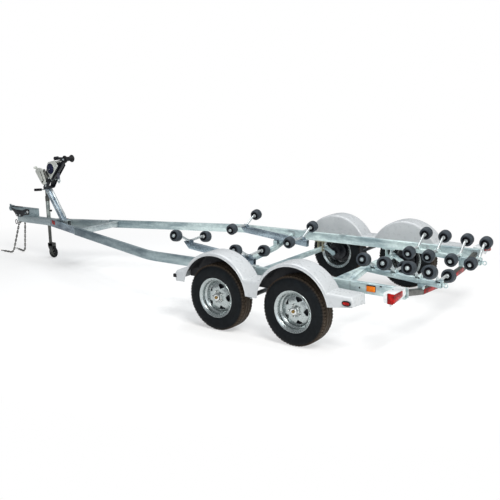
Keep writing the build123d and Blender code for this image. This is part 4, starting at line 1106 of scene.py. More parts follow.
        # A near-black copy of the skin just inside it: painted shade on the fender's underside.
        middle = (self.inner + self.outer) / 2 * self.side
        inset = grid.copy()
        inset[..., 1] = middle + (grid[..., 1] - middle) * 0.965
        inset[..., 2] = grid[..., 2] - 0.0045
        Surface().add(inset[1:-1], loop_cols=False).dress(
            f"fender_painted_shade_sheet_{name}", Finish.FENDER, "fender_painted_shade", sharp_deg=50.0)
        path = grid[6:-6, -1] + (0.0, -self.side * 0.001, 0.0)
        Surface().rod(path, 0.0035, 8, (0, 1, 0)).dress(
            f"fender_edge_{name}", Finish.FENDER, sharp_deg=60.0)


# ---------------------------------------------------------------- hull rollers


@dataclass
class HullRoller:
    """A dished rubber roller with a bright hub cap, on its slanted rod."""

    node: str
    side: int
    radius: float = 0.065
    half: float = 0.039
    rod: float = 0.00975

    def make(self) -> None:
        """Makes the roller where its node stands: a dark dished core in a paler skin."""
        centre = np.mean(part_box(self.node), axis=0) - ORIGIN
        w, r = self.half, self.radius
        dish = [(w - 0.001, self.rod), (w - 0.001, 0.024), (w - 0.003, 0.026), (w - 0.017, 0.029),
                (w - 0.019, 0.036), (w - 0.015, 0.040), (w - 0.004, 0.0425), (w - 0.004, 0.0450)]
        skin = [(w - 0.005, 0.0430), (w, 0.045), (w, 0.057), (w - 0.002, 0.0605), (w - 0.007, 0.0625),
                (w * 0.55, r - 0.0006), (w * 0.28, r), (w * 0.1, r)]
        for part, side, paint in (("dish", dish, "roller_dish"), ("rubber", skin, "roller")):
            Surface().lathe(both_ways(side), centre, roller_axis(self.side), 40).dress(
                f"{self.node}_{part}", Finish.ROLLER, paint, [self.node], self.node, 35.0)


# ---------------------------------------------------------------- chassis


@dataclass
class Frame:
    """The galvanised rails, tongue and cross members, as hollow tubes."""

    rail_top: float = 0.597
    rail_h: float = 0.102
    rail_w: float = 0.051
    rear: float = 1.385
    bend: float = -1.690
    slope: float = 0.3116
    front: float = -3.590
    corner: float = 0.008
    wall: float = 0.005
    tongue_front: float = -5.190
    tongue_back: float = -4.080
    leg_start: float = -4.400
    cross_x: float = -3.470
    cross_drop: float = 0.0434

    def half_width(self, x: float) -> float:
        """Gives the frame's half width at a station on the slope."""
        return RAIL_Y + self.slope * (x - self.bend)

    def rail(self, side: int, name: str) -> None:
        """Makes one main rail, bent where the straight meets the slope."""
        z = self.rail_top - self.rail_h / 2
        path = bent_path([
            (self.rear, side * RAIL_Y, z), (self.bend, side * RAIL_Y, z),
            (self.front, side * self.half_width(self.front), z)], 0.9, 14)
        shell = Surface().tube(path, self.rail_w, self.rail_h, self.corner, self.wall)
        shell.dress(f"rail_tube_{name}", Finish.RAIL, replaces=[f"rail_{name}"])

    def tongue(self) -> None:
        """Makes the tongue tube and its two legs."""
        z = self.rail_top - 0.050
        shell = Surface().tube([(self.tongue_front, 0, z), (self.tongue_back, 0, z)],
                               0.076, 0.100, self.corner, self.wall)
        zl = self.rail_top - self.rail_h / 2
        for side, name in SIDES:
            start = (self.leg_start, side * self.half_width(self.leg_start), zl)
            end = (self.front - 0.004, side * self.half_width(self.front - 0.004), zl)
            leg = Surface().tube([start, end], 0.043, 0.092, self.corner, self.wall)
            # The port leg gets the shaded copy of the zinc and the starboard leg the plain zinc: painted
            # shade on the port side.
            leg.dress(f"tongue_leg_{name}", Finish.RAIL, "shaded_zinc" if side < 0 else "zinc")
        gusset = rounded_outline([
            (-4.300, -0.060), (-3.700, -0.240), (-3.700, 0.240), (-4.300, 0.060)], 0.010)
        shell.slab(gusset, "z", 0.497, 0.503, 0.001)
        shell.dress("tongue_tube", Finish.RAIL, "zinc", replaces=["tongue"])
        seams = Surface()
        for side, _ in SIDES:
            x = self.front - 0.001
            p = np.array((x, side * self.half_width(x), zl))
            along = unit((1.0, side * self.slope, 0.0))
            path = [p - along * 0.004, p + along * 0.004]
            seams.closed(carried(rounded_section(0.0535, 0.1045, 0.009), path))
        seams.dress("tongue_weld_collars", Finish.RAIL, "zinc")

    def cross_tube(self) -> None:
        """Makes the front cross tube."""
        x, z = self.cross_x, self.rail_top - self.cross_drop
        half = self.half_width(x) - self.rail_w / 2
        shell = Surface().tube([(x, -half, z), (x, half, z)], 0.051, 0.076, self.corner, self.wall)
        shell.dress("front_cross_member_tube", Finish.RAIL, "zinc", replaces=["front_cross_tube"])

    def marks(self) -> None:
        """Makes the rails' plug holes, the small plate, the weld seam and the tongue's reflector."""
        dark, red = Surface(), Surface()
        for side, _ in SIDES:
            face = side * (RAIL_Y + self.rail_w / 2)
            dark.disc((0.945, face - side * 0.0005, 0.546), (0, side, 0), [(0, 0.009), (0.001, 0.0085)], 20)
            dark.block((1.157, face, 0.583), (0.022, 0.0016, 0.012), 0.0004)
            dark.block((0.849, face, 0.546), (0.003, 0.0012, 0.094), 0.0004)
            ends = [(x, side * (self.half_width(x) + 0.0225), 0.568) for x in (-4.342, -4.240)]
            red.bar(*ends, 0.004, 0.056, 0.001)
        dark.dress("rail_marks", Finish.BLACK)
        red.dress("tongue_reflectors", Finish.RED)

    def bolts(self) -> None:
        """Makes the bolts, clamp plates and straps that show on the rails."""
        shell = Surface()
        half = self.rail_w / 2
        for side, _ in SIDES:
            face = side * (RAIL_Y + half)
            inboard = side * (RAIL_Y - half)
            for x in (-0.900, -0.780, 0.0):
                shell.bolt((x, face, 0.560), (0, side, 0), 0.017)
            for x in (-0.950, 0.800, 1.352):
                shell.block((x, inboard - side * 0.003, 0.545), (0.090, 0.006, 0.086), 0.002)
                for dx in (-0.030, 0.030):
                    for dz in (-0.024, 0.024):
                        shell.bolt((x + dx, inboard - side * 0.006, 0.545 + dz), (0, -side, 0), 0.014)
            x = -0.240
            for dx in (-0.028, 0.028):
                ends = [(x + dx, face + side * 0.004, z) for z in (0.490, 0.598)]
                shell.rod(ends, 0.0045, 8, (0, 1, 0))
            shell.block((x, side * RAIL_Y, self.rail_top + 0.004), (0.075, 0.062, 0.007), 0.002)
        shell.dress("rail_bolts_and_plates", Finish.ZINC)

    def make(self) -> None:
        """Makes the frame's tubes and fasteners."""
        for side, name in SIDES:
            self.rail(side, name)
        self.tongue()
        self.cross_tube()
        self.bolts()
        self.marks()


@dataclass
class DropMembers:
    """The two dropped cross members, with the clevises of the front carriers."""

    end_y: float = 0.8715
    knee_y: float = 0.500
    end_z: float = 0.545
    width: float = 0.051
    height: float = 0.056
    front_z: Pair = (0.444, 0.398)
    rear_x: float = 1.352
    rear_z: Pair = (0.467, 0.437)

    def member(self, shell: Surface, x: float, knee: float, mid: float) -> None:
        """Adds one bent tube: sloping ends, knees and a shallow middle."""
        end = knee + (self.end_z - knee) * (self.end_y - self.knee_y) / (RAIL_Y - self.knee_y)
        path = bent_path([
            (x, -self.end_y, end), (x, -self.knee_y, knee), (x, 0, mid),
            (x, self.knee_y, knee), (x, self.end_y, end)], 0.09, 6)
        shell.tube(path, self.width, self.height, 0.007, 0.004)

    def make(self) -> None:
        """Makes both members and the clevis plates."""
        shell, dull = Surface(), Surface()
        x, pin_y, pin_z = PIVOT
        self.member(shell, x, *self.front_z)
        # The rear member is drawn in the near-black zinc.
        self.member(dull, self.rear_x, *self.rear_z)
        dull.dress("rear_drop_member_tube", Finish.RAIL, "dark_zinc")
        top, low = pin_z + 0.020, self.front_z[0]
        for side, _ in SIDES:
            y = side * pin_y
            for s in (-1, 1):
                shell.block((x, y + s * 0.0285, (top + low) / 2), (0.051, 0.007, top - low), 0.003)
            shell.rod([(x, y - 0.040, pin_z), (x, y + 0.040, pin_z)], 0.009, 16)
            for s in (-1, 1):
                shell.bolt((x, y + s * 0.032, pin_z), (0, s, 0), 0.021)
        shell.dress("drop_member_tubes", Finish.RAIL, replaces=["drop_crossmembers"])


# ---------------------------------------------------------------- carriers


@dataclass
class Carrier:
    """A slanted tube with a bent rod out to each hull roller."""

    side: int
    beam_y: float
    mid_x: float
    mid_z: float
    length: float
    tilt_deg: float
    rows: Tuple[Tuple[str, float, float], ...]
    pairs: Tuple[float, ...]
    slant: bool = False
    width: float = 0.051
    height: float = 0.076
    rod: float = 0.0095
    half_roller: float = 0.039
    row_x: Optional[float] = None
    row_tilt: Optional[float] = None

    def z_at(self, x: float, mid_z: float) -> float:
        """Gives the height of a line that tilts with the carrier."""
        return mid_z - (x - self.mid_x) * math.tan(math.radians(self.tilt_deg))

    def row_z(self, x: float, mid_z: float) -> float:
        """Gives the height of a row of rollers, which may tilt less than the tube."""
        mid_x = self.mid_x if self.row_x is None else self.row_x
        tilt = self.tilt_deg if self.row_tilt is None else self.row_tilt
        return mid_z - (x - mid_x) * math.tan(math.radians(tilt))

    def tube(self, shell: Surface) -> None:
        """Adds the slanted tube, open at both ends."""
        t = math.radians(self.tilt_deg)
        half = self.length / 2
        along = np.array([math.cos(t), 0.0, -math.sin(t)])
        middle = np.array([self.mid_x, self.side * self.beam_y, self.mid_z])
        path = [middle - along * half, middle + along * half]
        up = (math.sin(t), 0.0, math.cos(t))
        outer = carried(rounded_section(self.width, self.height, 0.007), path, up)
        inner = carried(rounded_section(self.width - 0.010, self.height - 0.010, 0.004), path, up)
        if self.slant:
            for grid in (outer, inner):
                drop = (middle[2] + math.sin(t) * half + self.height / 2 - grid[0, :, 2]) / self.height
                grid[0] += np.clip(drop - 0.2, 0, 1)[:, None] * along * 0.10
        shell.add(np.concatenate([outer, inner[::-1]]), loop_rows=True)

    def bracket(self, shell: Surface, x: float) -> None:
        """Adds the clamp over the tube that holds a pair of rods."""
        z = self.z_at(x, self.mid_z) + self.height / 2
        t = math.radians(self.tilt_deg)
        y = self.side * self.beam_y
        dx, dz = math.cos(t) * 0.027, -math.sin(t) * 0.027
        shell.bar((x - dx, y, z + 0.008 - dz), (x + dx, y, z + 0.008 + dz), 0.063, 0.026, 0.004)
        for s in (-1, 1):
            shell.bar((x - dx, y + s * 0.0285, z - 0.012 - dz), (x + dx, y + s * 0.0285, z - 0.012 + dz),
                      0.006, 0.048, 0.002)
            shell.bolt((x, y + s * 0.0315, z - 0.018), (0, s, 0), 0.013)
            shell.bolt((x + s * 0.018, y, z + 0.020), (0, 0, 1), 0.012)

    def rods(self, shell: Surface, caps: Surface) -> None:
        """Adds the bent rods, each square to the hull where its roller turns."""
        axis = roller_axis(self.side)
        for x in self.pairs:
            for row, y, mid_z in self.rows:
                s = 1 if row == "outer" else -1
                hub = np.array([x, self.side * y, self.row_z(x, mid_z)])
                near = hub - s * axis * (self.half_roller + 0.034)
                far = hub + s * axis * (self.half_roller + 0.012)
                top = self.z_at(x, self.mid_z) + self.height / 2
                foot = np.array([x, self.side * (self.beam_y + s * 0.010), top + 0.012])
                neck = hub - s * axis * (self.half_roller + 0.013)
                for end, radius in ((far, self.rod), (neck, 0.0135)):
                    shell.rod(bent_path([foot, near, end], 0.035, 8), radius, 14, (1, 0, 0))
                tip = hub + s * axis * (self.half_roller + 0.0006)
                caps.disc(tip, s * axis, [
                    (0, 0.0195), (0.003, 0.0195), (0.005, 0.018), (0.006, 0.013), (0.016, 0.0125),
                    (0.018, 0.010), (0.0185, 0.004)])
                back = hub - s * axis * (self.half_roller + 0.0006)
                shell.disc(back, -s * axis, [
                    (0, 0.019), (0.003, 0.019), (0.004, 0.014), (0.011, 0.0135), (0.012, 0.0098)], 20)

    def build(self) -> Tuple[Surface, Surface, Surface]:
        """Gives the carrier's steel, its hub caps and its bent rods."""
        shell, caps, rods = Surface(), Surface(), Surface()
        self.tube(shell)
        for x in self.pairs:
            self.bracket(shell, x)
        self.rods(rods, caps)
        return shell, caps, rods


FRONT_ROWS = (("outer", 0.757, 0.731), ("inner", 0.252, 0.631))
REAR_ROWS = (("outer", 0.708, 0.735), ("inner", 0.281, 0.606))


@dataclass
class Carriers:
    """The two tilting front carriers and the two fixed rear ones."""

    def front(self, side: int, name: str) -> None:
        """Makes a front carrier with the ear of its clevis."""
        body = f"front_carrier_{name}"
        x, pin_y, pin_z = PIVOT
        y = side * pin_y
        carrier = Carrier(side, beam_y=pin_y, mid_x=-0.990, mid_z=0.582, length=0.970, tilt_deg=5.6,
                          rows=FRONT_ROWS, pairs=(-1.403, -0.582), slant=True)
        shell, caps, rods = carrier.build()
        low = carrier.z_at(x, carrier.mid_z) - carrier.height / 2
        shell.block((x, y, (pin_z + low) / 2 + 0.002), (0.040, 0.040, low - pin_z + 0.004), 0.002)
        shell.disc((x, y, pin_z), (0, 1, 0), [(-0.020, 0.020), (0.020, 0.020)], 28)
        # The front carriers' steel uses the shaded zinc: painted shade on their port faces.
        shell.dress(f"front_carrier_steel_{name}", Finish.RAIL, "shaded_zinc", [f"front_beam_{name}"], body)
        caps.dress(f"front_roller_caps_{name}", Finish.ZINC, body=body)
        rods.dress(f"front_carrier_rods_{name}", Finish.ZINC, "rod_zinc", body=body)

    def rear(self) -> None:
        """Makes the rear carriers with their outriggers, pads and end eyes."""
        steel, caps, rods = Surface(), Surface(), Surface()
        beam_y, brace_x, stand_x, eye_x = 0.500, 0.792, DropMembers.rear_x, 1.585
        for side, _ in SIDES:
            carrier = Carrier(side, beam_y, mid_x=1.160, mid_z=0.584, length=0.780, tilt_deg=4.9,
                              rows=REAR_ROWS, pairs=(0.876, 1.086, 1.327, 1.525), height=0.052,
                              row_x=1.200, row_tilt=3.5)
            shell, cap, rod = carrier.build()
            y = side * beam_y
            near = np.array((brace_x, side * RAIL_Y, 0.546))
            far = np.array((brace_x, y, carrier.z_at(brace_x, carrier.mid_z)))
            start = near + (far - near) * 0.0255 / (RAIL_Y - beam_y)
            shell.tube([start, far], 0.045, 0.051, 0.006, 0.004)
            low = carrier.z_at(stand_x, carrier.mid_z) - carrier.height / 2
            shell.block((stand_x, y, (low + 0.480) / 2), (0.051, 0.051, max(low - 0.480, 0.012)), 0.003)
            end_z = carrier.z_at(eye_x, carrier.mid_z)
            shell.ring((eye_x, y, end_z + 0.004), (0, 1, 0), 0.019, 0.0055)
            shell.block((1.556, y, end_z + 0.006), (0.040, 0.012, 0.034), 0.003)
            steel.join(shell)
            caps.join(cap)
            rods.join(rod)
        steel.dress("rear_carrier_steel", Finish.RAIL, replaces=["rear_beams"])
        caps.dress("rear_roller_caps", Finish.ZINC)
        rods.dress("rear_carrier_rods", Finish.ZINC, "rod_zinc")

    def make(self) -> None:
        """Makes all four carriers."""
        for side, name in SIDES:
            self.front(side, name)
        self.rear()


# ---------------------------------------------------------------- axles and fender arms


@dataclass
class TorsionAxles:
    """The two square axle tubes with their trailing arms, hangers and spindles."""

    spacing: float = 0.900
    ahead: float = 0.100
    tube_z: float = 0.393
    tube_w: float = 0.050
    tube_half: float = 1.000
    arm_t: float = 0.026
    arm_w: float = 0.058
    spindle_z: float = 0.332

    def axle(self, shell: Surface, hubs: Surface, x: float) -> None:
        """Adds one tube with an arm, a brake flange and a spindle at each end."""
        tube_x = x - self.ahead
        ends = [(tube_x, s * self.tube_half, self.tube_z) for s in (-1, 1)]
        shell.tube(ends, self.tube_w, self.tube_w, 0.006, 0.005)
        for side, _ in SIDES:
            half, r = self.arm_t / 2, self.arm_w / 2
            mid = side * (self.tube_half + half)
            cheek = both_ways([(-half, r - 0.003), (-half + 0.003, r)])
            p, q = (tube_x, mid, self.tube_z), (x, mid, self.spindle_z)
            shell.bar(p, q, self.arm_t * 0.86, self.arm_w * 0.82, 0.004)
            shell.disc(p, (0, side, 0), cheek, 32).disc(q, (0, side, 0), cheek, 32)
            root = (x, side * self.tube_half, self.spindle_z)
            hubs.disc(root, (0, side, 0), [
                (0.020, 0.036), (0.056, 0.034), (0.060, 0.060), (0.062, 0.064), (0.070, 0.064),
                (0.072, 0.061), (0.073, 0.024), (0.226, 0.021)], 40)

    def hanger(self, steel: Surface, bolts: Surface, x: float, side: int) -> None:
        """Adds the plate under the rail with a cheek on each side of the tube."""
        y, top, low = side * RAIL_Y, 0.4947, self.tube_z - self.tube_w / 2
        steel.block((x, y, top - 0.004), (0.150, 0.060, 0.008), 0.003)
        for s in (-1, 1):
            cheek = x + s * 0.0293
            steel.block((cheek, y, (top + low) / 2), (0.008, 0.060, top - low), 0.003)
            for dz in (0.034, 0.076):
                bolts.bolt((cheek + s * 0.004, y, low + dz), (s, 0, 0), 0.012)
            bolts.bolt((x + s * 0.060, y + 0.014, top - 0.008), (0, 0, -1), 0.012)

    def make(self) -> None:
        """Makes both axles and the four hangers."""
        axles, hubs, bolts = Surface(), Surface(), Surface()
        for x_sign, end in ENDS:
            x = x_sign * self.spacing / 2
            self.axle(axles, hubs, x)
            hangers = Surface()
            for side, _ in SIDES:
                self.hanger(hangers, bolts, x - self.ahead, side)
            paint = "yellow_zinc" if end == "front" else "galvanised"
            hangers.dress(f"axle_hangers_{end}", Finish.RAIL, paint, replaces=["hangers"])
        axles.dress("torsion_axle_tubes", Finish.RAIL, replaces=["axles"])
        hubs.dress("axle_hubs_and_drum_plates", Finish.RAIL, "black_steel")
        bolts.dress("axle_hanger_bolts", Finish.ZINC)


@dataclass
class FenderArms:
    """The black arms that hold each fender to its rail."""

    wall: float = 0.9225
    inner: float = 1.064
    outer: float = 1.2967
    width: float = 0.040
    height: float = 0.030
    valley_x: float = -0.020
    valley_z: float = 0.414
    rail_mid: float = 0.546

    def make(self) -> None:
        """Makes the three arms of each side and their bolts."""
        shell, bolts = Surface(), Surface()
        for side, _ in SIDES:
            for x, drop in ((-0.900, 0.0), (0.880, 0.040)):
                z = self.rail_mid - self.height / 2 - drop
                shell.bar((x, side * self.wall, z), (x, side * self.inner, z), self.width,
                          self.height, 0.004)
                bolts.bolt((x, side * 1.00, z + self.height / 2), (0, 0, 1), 0.012)
            drop_y = self.wall + 0.0078
            x = self.valley_x
            shell.bar((x, side * drop_y, self.valley_z - 0.015), (x, side * drop_y, self.rail_mid + 0.015),
                      0.015, self.width, 0.004, (1, 0, 0))
            shell.bar((x, side * drop_y, self.valley_z), (x, side * self.outer, self.valley_z), self.width,
                      self.height, 0.005)
            for dz in (0.060, 0.110):
                bolts.bolt((x, side * (drop_y + 0.0075), self.valley_z + dz), (0, side, 0), 0.016)
            bolts.bolt((x, side * 1.272, self.valley_z - 0.015), (0, 0, -1), 0.013)
        shell.dress("fender_arms", Finish.BLACK, replaces=["fender_brackets"])
        bolts.dress("fender_arm_bolts", Finish.ZINC)


# ---------------------------------------------------------------- lamps


@dataclass
class Lamps:
    """Tail lamps in their housings, side markers, oval lenses and rear strips."""

    box_in: float = 0.9228
    box_out: float = 1.185
    front: float = 1.312
    rear: float = 1.396
    top: float = 0.613
    low: float = 0.523
    lens_in: float = 1.0155
    lens_out: float = 1.1935
    lens_t: float = 0.017

    def housing(self, plates: Surface, trim: Surface, side: int) -> None:
        """Adds the pale box, its cap strip and the small plate below."""
        shape = [(self.box_in, self.top), (self.box_out, self.top), (self.box_out, self.low),
                 (1.010, self.low), (self.box_in, 0.5455)]
        outline = rounded_outline([(side * y, z) for y, z in shape], 0.006)
        plates.slab(outline, "x", self.front, self.rear, 0.003)
        strip = (self.rear + 0.004, side * 1.1045, self.top + 0.0035)
        plates.block(strip, (0.034, 0.178, 0.008), 0.003)
        trim.disc((1.310, side * 1.070, 0.560), (1, 0, 0), [
            (0, 0.034), (0.004, 0.036), (0.022, 0.036), (0.025, 0.033)], 32)
        plates.block((1.365, side * 1.1493, 0.508), (0.012, 0.0357, 0.030), 0.002)
        for dy in (-0.050, 0.050):
            trim.bolt((1.365 + dy / 2, side * 1.060, self.top), (0, 0, 1), 0.009)

    def tail(self, red: Surface, rims: Surface, side: int) -> None:
        """Adds a ribbed lens that wraps round the outer corner, in a black rim."""
        shape = [(self.lens_out, 0.521), (self.lens_out, 0.615), (self.lens_in, 0.6108),
                 (self.lens_in, 0.555)]
        outline = rounded_outline([(side * y, z) for y, z in shape], 0.010)
        centre = outline.mean(0)
        rims.slab(centre + (outline - centre) * 0.985, "x", self.rear + 0.0003, self.rear + 0.006, 0.001)
        side_face = rounded_outline([(1.350, 0.521), (1.350, 0.615), (1.404, 0.615), (1.404, 0.521)], 0.008)
        red.slab(side_face, "y", side * 1.1854, side * self.lens_out, 0.0025)
        small = centre + (outline - centre) * (0.97, 0.88)
        red.slab(small, "x", self.rear + 0.004, self.rear + self.lens_t, 0.005)

    def oval(self, red: Surface, rims: Surface, side: int) -> None:
        """Adds the oval lens on the fender's rear step, in a black bezel."""
        t = whole_turn(40)
        x, z = 1.022, 0.503
        for shell, a, b, lo, hi, bevel in ((rims, 0.044, 0.024, 1.302, 1.309, 0.002),
                                           (red, 0.032, 0.0130, 1.308, 1.314, 0.003)):
            shape = np.stack([x + a * np.sign(np.cos(t)) * np.abs(np.cos(t)) ** 0.7, z + b * np.sin(t)], 1)
            shell.slab(shape, "y", side * lo, side * hi, bevel)

    def marker(self, amber: Surface, rims: Surface, side: int) -> None:
        """Adds the amber side marker on the rail, on its black seat."""
        x, z, y = 1.062, 0.553, 0.9225
        shape = rounded_outline([(x - 0.046, z - 0.031), (x + 0.046, z - 0.031), (x + 0.046, z + 0.031),
                                 (x - 0.046, z + 0.031)], 0.008)
        rims.slab(shape, "y", side * y, side * (y + 0.003), 0.0005)
        lens = (x, z - 0.004) + (shape - shape.mean(0)) * (0.93, 0.80)
        amber.slab(lens, "y", side * (y + 0.002), side * (y + 0.012), 0.004)

    def strip(self, red: Surface, side: int) -> None:
        """Adds one thin red strip on the rear dropped member."""
        x = 1.379
        red.bar((x, side * 0.110, 0.444), (x, side * 0.495, 0.467), 0.003, 0.044, 0.001)

    def make(self) -> None:
        """Makes every lamp of both sides."""
        plates, trim, red, rims, amber = (Surface() for _ in range(5))
        for side, _ in SIDES:
            self.housing(plates, trim, side)
            self.tail(red, rims, side)
            self.oval(red, rims, side)
            self.marker(amber, rims, side)
            self.strip(red, side)
            rims.block((-0.951, side * 1.283, 0.500), (0.042, 0.050, 0.036), 0.006)
        plates.dress("lamp_boxes", Finish.LAMP_BOX, replaces=["lamp_housings"])
        trim.dress("lamp_box_fittings", Finish.ZINC)
        red.dress("red_lamp_lenses", Finish.RED, replaces=["red_lenses"])
        rims.dress("lamp_rims", Finish.BLACK, "black_rubber")
        amber.dress("amber_lamp_lenses", Finish.AMBER, replaces=["amber_lenses"])


# ---------------------------------------------------------------- winch


@dataclass
class WinchGroup:
    """Winch post, side plates, drum, crank, bow stop and bow roller."""

    foot: Pair = (-4.194, 0.597)
    head: Pair = (-4.496, 1.040)
    post_w: float = 0.090
    post_t: float = 0.051
    plate_y: float = 0.058
    plate_t: float = 0.005
    outline: Tuple[Pair, ...] = (
        (-4.516, 1.014), (-4.416, 1.034), (-4.318, 1.172), (-4.150, 1.362), (-4.162, 1.388), (-4.218, 1.436),
        (-4.345, 1.416), (-4.410, 1.330), (-4.478, 1.170))
    cover: Tuple[Pair, ...] = (
        (-4.372, 1.411), (-4.225, 1.440), (-4.159, 1.370), (-4.343, 1.165), (-4.409, 1.329))
    drum: Pair = (-4.345, 1.312)
    crank: Pair = (-4.425, 1.140)
    crank_l: float = 0.235
    arm: Tuple[Pair, ...] = (
        (-4.572, 1.278), (-4.553, 1.318), (-4.504, 1.334), (-4.437, 1.328), (-4.404, 1.306), (-4.372, 1.168),
        (-4.388, 1.105), (-4.424, 1.096), (-4.450, 1.112))
    crank_deg: float = 124.0
    crank_y: float = 0.128
    bow: Pair = (-4.012, 1.462)
    stop_foot: Pair = (-4.372, 1.160)
    stop_back: float = -4.079
    stop_tail: float = -4.262

    def spot(self, at: Pair, y: float = 0.0) -> Vec3:
        """Gives the frame's place of a station and height."""
        return (at[0], y, at[1])

    def post(self) -> None:
        """Makes the leaning post, two pale strips on its rear face that paint a highlight and a lit band,
        and its foot plate.
        """
        shell, bolts = Surface(), Surface()
        p, q = np.array(self.spot(self.foot)), np.array(self.spot(self.head))
        along = unit(q - p)
        grid = carried(rounded_section(self.post_w, self.post_t, 0.010), [p, q])
        for row, level in ((0, 0.6005), (1, self.head[1])):
            grid[row] += ((level - grid[row, :, 2]) / along[2])[:, None] * along
        shell.closed(grid)
        normal = np.cross((0.0, 1.0, 0.0), along)
        # Two pale strips on the post's rear face, a narrow and a wide one: painted highlight and painted lit
        # band.
        pale = Surface()
        for y, wide in ((-0.040, 0.008), (0.028, 0.034)):
            lift = normal * (self.post_t / 2 + 0.001) + (0, y, 0)
            pale.bar(p + along * 0.035 + lift, q - along * 0.035 + lift, 0.006, wide, 0.002, (0, 1, 0))
        pale.dress("winch_post_painted_highlights", Finish.RAIL, "rod_zinc")
        x = self.foot[0] - 0.010
        shell.block((x, 0, self.foot[1] + 0.0025), (0.132, 0.117, 0.005), 0.002)
        for dx in (-0.052, 0.052):
            for y in (-0.046, 0.046):
                bolts.bolt((x + dx, y, self.foot[1] + 0.005), (0, 0, 1), 0.014)
        bolts.bolt((-4.452, -0.045, 0.976), (0, -1, 0), 0.020)
        # The post uses the shaded zinc: painted shade on its port face.
        shell.dress("winch_post_tube", Finish.RAIL, "shaded_zinc", replaces=["winch_post"])
        bolts.dress("winch_post_bolts", Finish.ZINC)

    def plates(self) -> None:
        """Makes the two side plates, the black clamp, the tie rod and the gear covers."""
        steel, black, cover, bolts = Surface(), Surface(), Surface(), Surface()
        shape = rounded_outline(self.outline, 0.018)
        pale = rounded_outline(self.cover, 0.020)
        for s in (-1, 1):
            face = s * (self.plate_y + self.plate_t)
            black.slab(shape, "y", s * self.plate_y, face, 0.0012)
            steel.slab(pale, "y", face, face + s * 0.004, 0.0015)
            middle = self.spot((-4.325, 1.320), face + s * 0.004)
            steel.lathe([(0, 0.080), (0.003, 0.080), (0.004, 0.076), (0, 0.075)], middle, (0, s, 0))
            cover.disc(middle, (0, s, 0), [
                (0, 0.0755), (0.0015, 0.075), (0.002, 0.048), (0.004, 0.044), (0.005, 0.020)], 48)
            for x, z in ((-4.452, 1.075), (-4.372, 1.190), (-4.190, 1.372)):
                bolts.bolt((x, face + s * 0.003, z), (0, s, 0), 0.016)
            bolts.disc(self.spot((-4.452, 1.112), face), (0, s, 0), [
                (0, 0.021), (0.004, 0.020), (0.006, 0.015)])
        steel.rod([self.spot((-4.210, 1.415), s * self.plate_y) for s in (-1, 1)], 0.009, 16)
        black.block((-4.476, 0, 1.0503), (0.086, 0.1215, 0.024), 0.004)
        black.dress("winch_side_plates", Finish.ZINC, "black_steel", replaces=["winch_frame"])
        steel.dress("winch_gear_plates", Finish.ZINC, "pale_zinc")
        bolts.dress("winch_bolts", Finish.ZINC, "rod_zinc")
        cover.dress("winch_gear_covers", Finish.ZINC, "navy_coat")

    def spool(self) -> None:
        """Makes the drum: two flanges, the shaft and layers of strap.

        The strap's radius grows by its thickness each turn, so its side shows
        as a spiral.
        """
        steel, strap = Surface(), Surface()
        centre = self.spot(self.drum)
        for s in (-1, 1):
            steel.disc(centre, (0, s, 0), [
                (0.042, 0.050), (0.042, 0.056), (0.046, 0.056), (0.046, 0.030)], 40)
            steel.disc(centre, (0, s, 0), [(0.040, 0.0085), (0.071, 0.0085), (0.073, 0.0075)], 20)
        turns = whole_turn(72)
        across = np.linspace(-0.040, 0.040, 13)
        ring = np.array([(y, 0.0425 + 0.0012 * math.cos(8 * k)) for k, y in enumerate(across)])
        r = ring[:, 1, None] + 0.003 * (turns / (2 * math.pi))[None]
        x = centre[0] + r * np.cos(turns)
        z = centre[2] + r * np.sin(turns)
        strap.closed(np.stack([x, np.broadcast_to(ring[:, 0, None], x.shape), z], -1))
        strap.dress("winch_strap_roll", Finish.STRAP, replaces=["winch_drum"], body="winch_drum")
        steel.dress("winch_drum_flanges", Finish.ZINC, body="winch_drum")

    def handle(self) -> None:
        """Makes the crank: shaft with its gear, one flat arm with a dark strip along its face that paints
        the slot between its two bars as shade, and the grip.
        """
        steel, bright = Surface(), Surface()
        y = -self.crank_y
        steel.disc(self.spot(self.crank), (0, -1, 0), [(-0.073, 0.0085), (0.128, 0.0085)], 20)
        teeth = 3.2 * np.abs(np.sin(np.linspace(0, 12 * math.pi, 73)[:-1]))
        middle = self.spot(self.crank)
        grid = turned([(-0.052, 0.0155), (-0.020, 0.0155)], middle, (0, 1, 0), 72)
        steel.closed(grid + (grid - middle) * (1.0, 0.0, 1.0) * (teeth * 0.045)[None, :, None])
        a = math.radians(self.crank_deg)
        along = np.array([math.cos(a), 0.0, math.sin(a)])
        foot = np.array(self.spot(self.crank, y))
        tip = foot + along * self.crank_l
        shape = rounded_outline(self.arm, 0.014)
        bright.slab(shape, "y", y - 0.009, y + 0.009, 0.004)
        # A dark strip on the arm's port face: painted shade in the slot between the handle's two bars.
        steel.bar(self.spot((-4.458, 1.282), y - 0.0105), self.spot((-4.398, 1.152), y - 0.0105),
                  0.003, 0.011, 0.001)
        for place, wide in ((foot, 0.026), (tip, 0.019)):
            bright.disc(place, (0, -1, 0), [
                (-0.010, wide - 0.0015), (-0.0085, wide), (0.0095, wide), (0.011, wide - 0.0015)], 32)
        steel.bolt(foot + (0, -0.009, 0), (0, -1, 0), 0.016)
        bright.disc(tip, (0, -1, 0), [
            (0.009, 0.011), (0.012, 0.0145), (0.024, 0.015), (0.034, 0.0135), (0.038, 0.008)])
        steel.bar(self.spot((-4.392, 1.318), y), self.spot((-4.333, 1.196), y),
                  0.020, 0.034, 0.008, (0, 1, 0))
        bright.dress("winch_crank_arm", Finish.ZINC, "pale_zinc", ["winch_crank"], "winch_crank")
        steel.dress("winch_crank_shaft", Finish.ZINC, "dark_zinc", body="winch_crank")

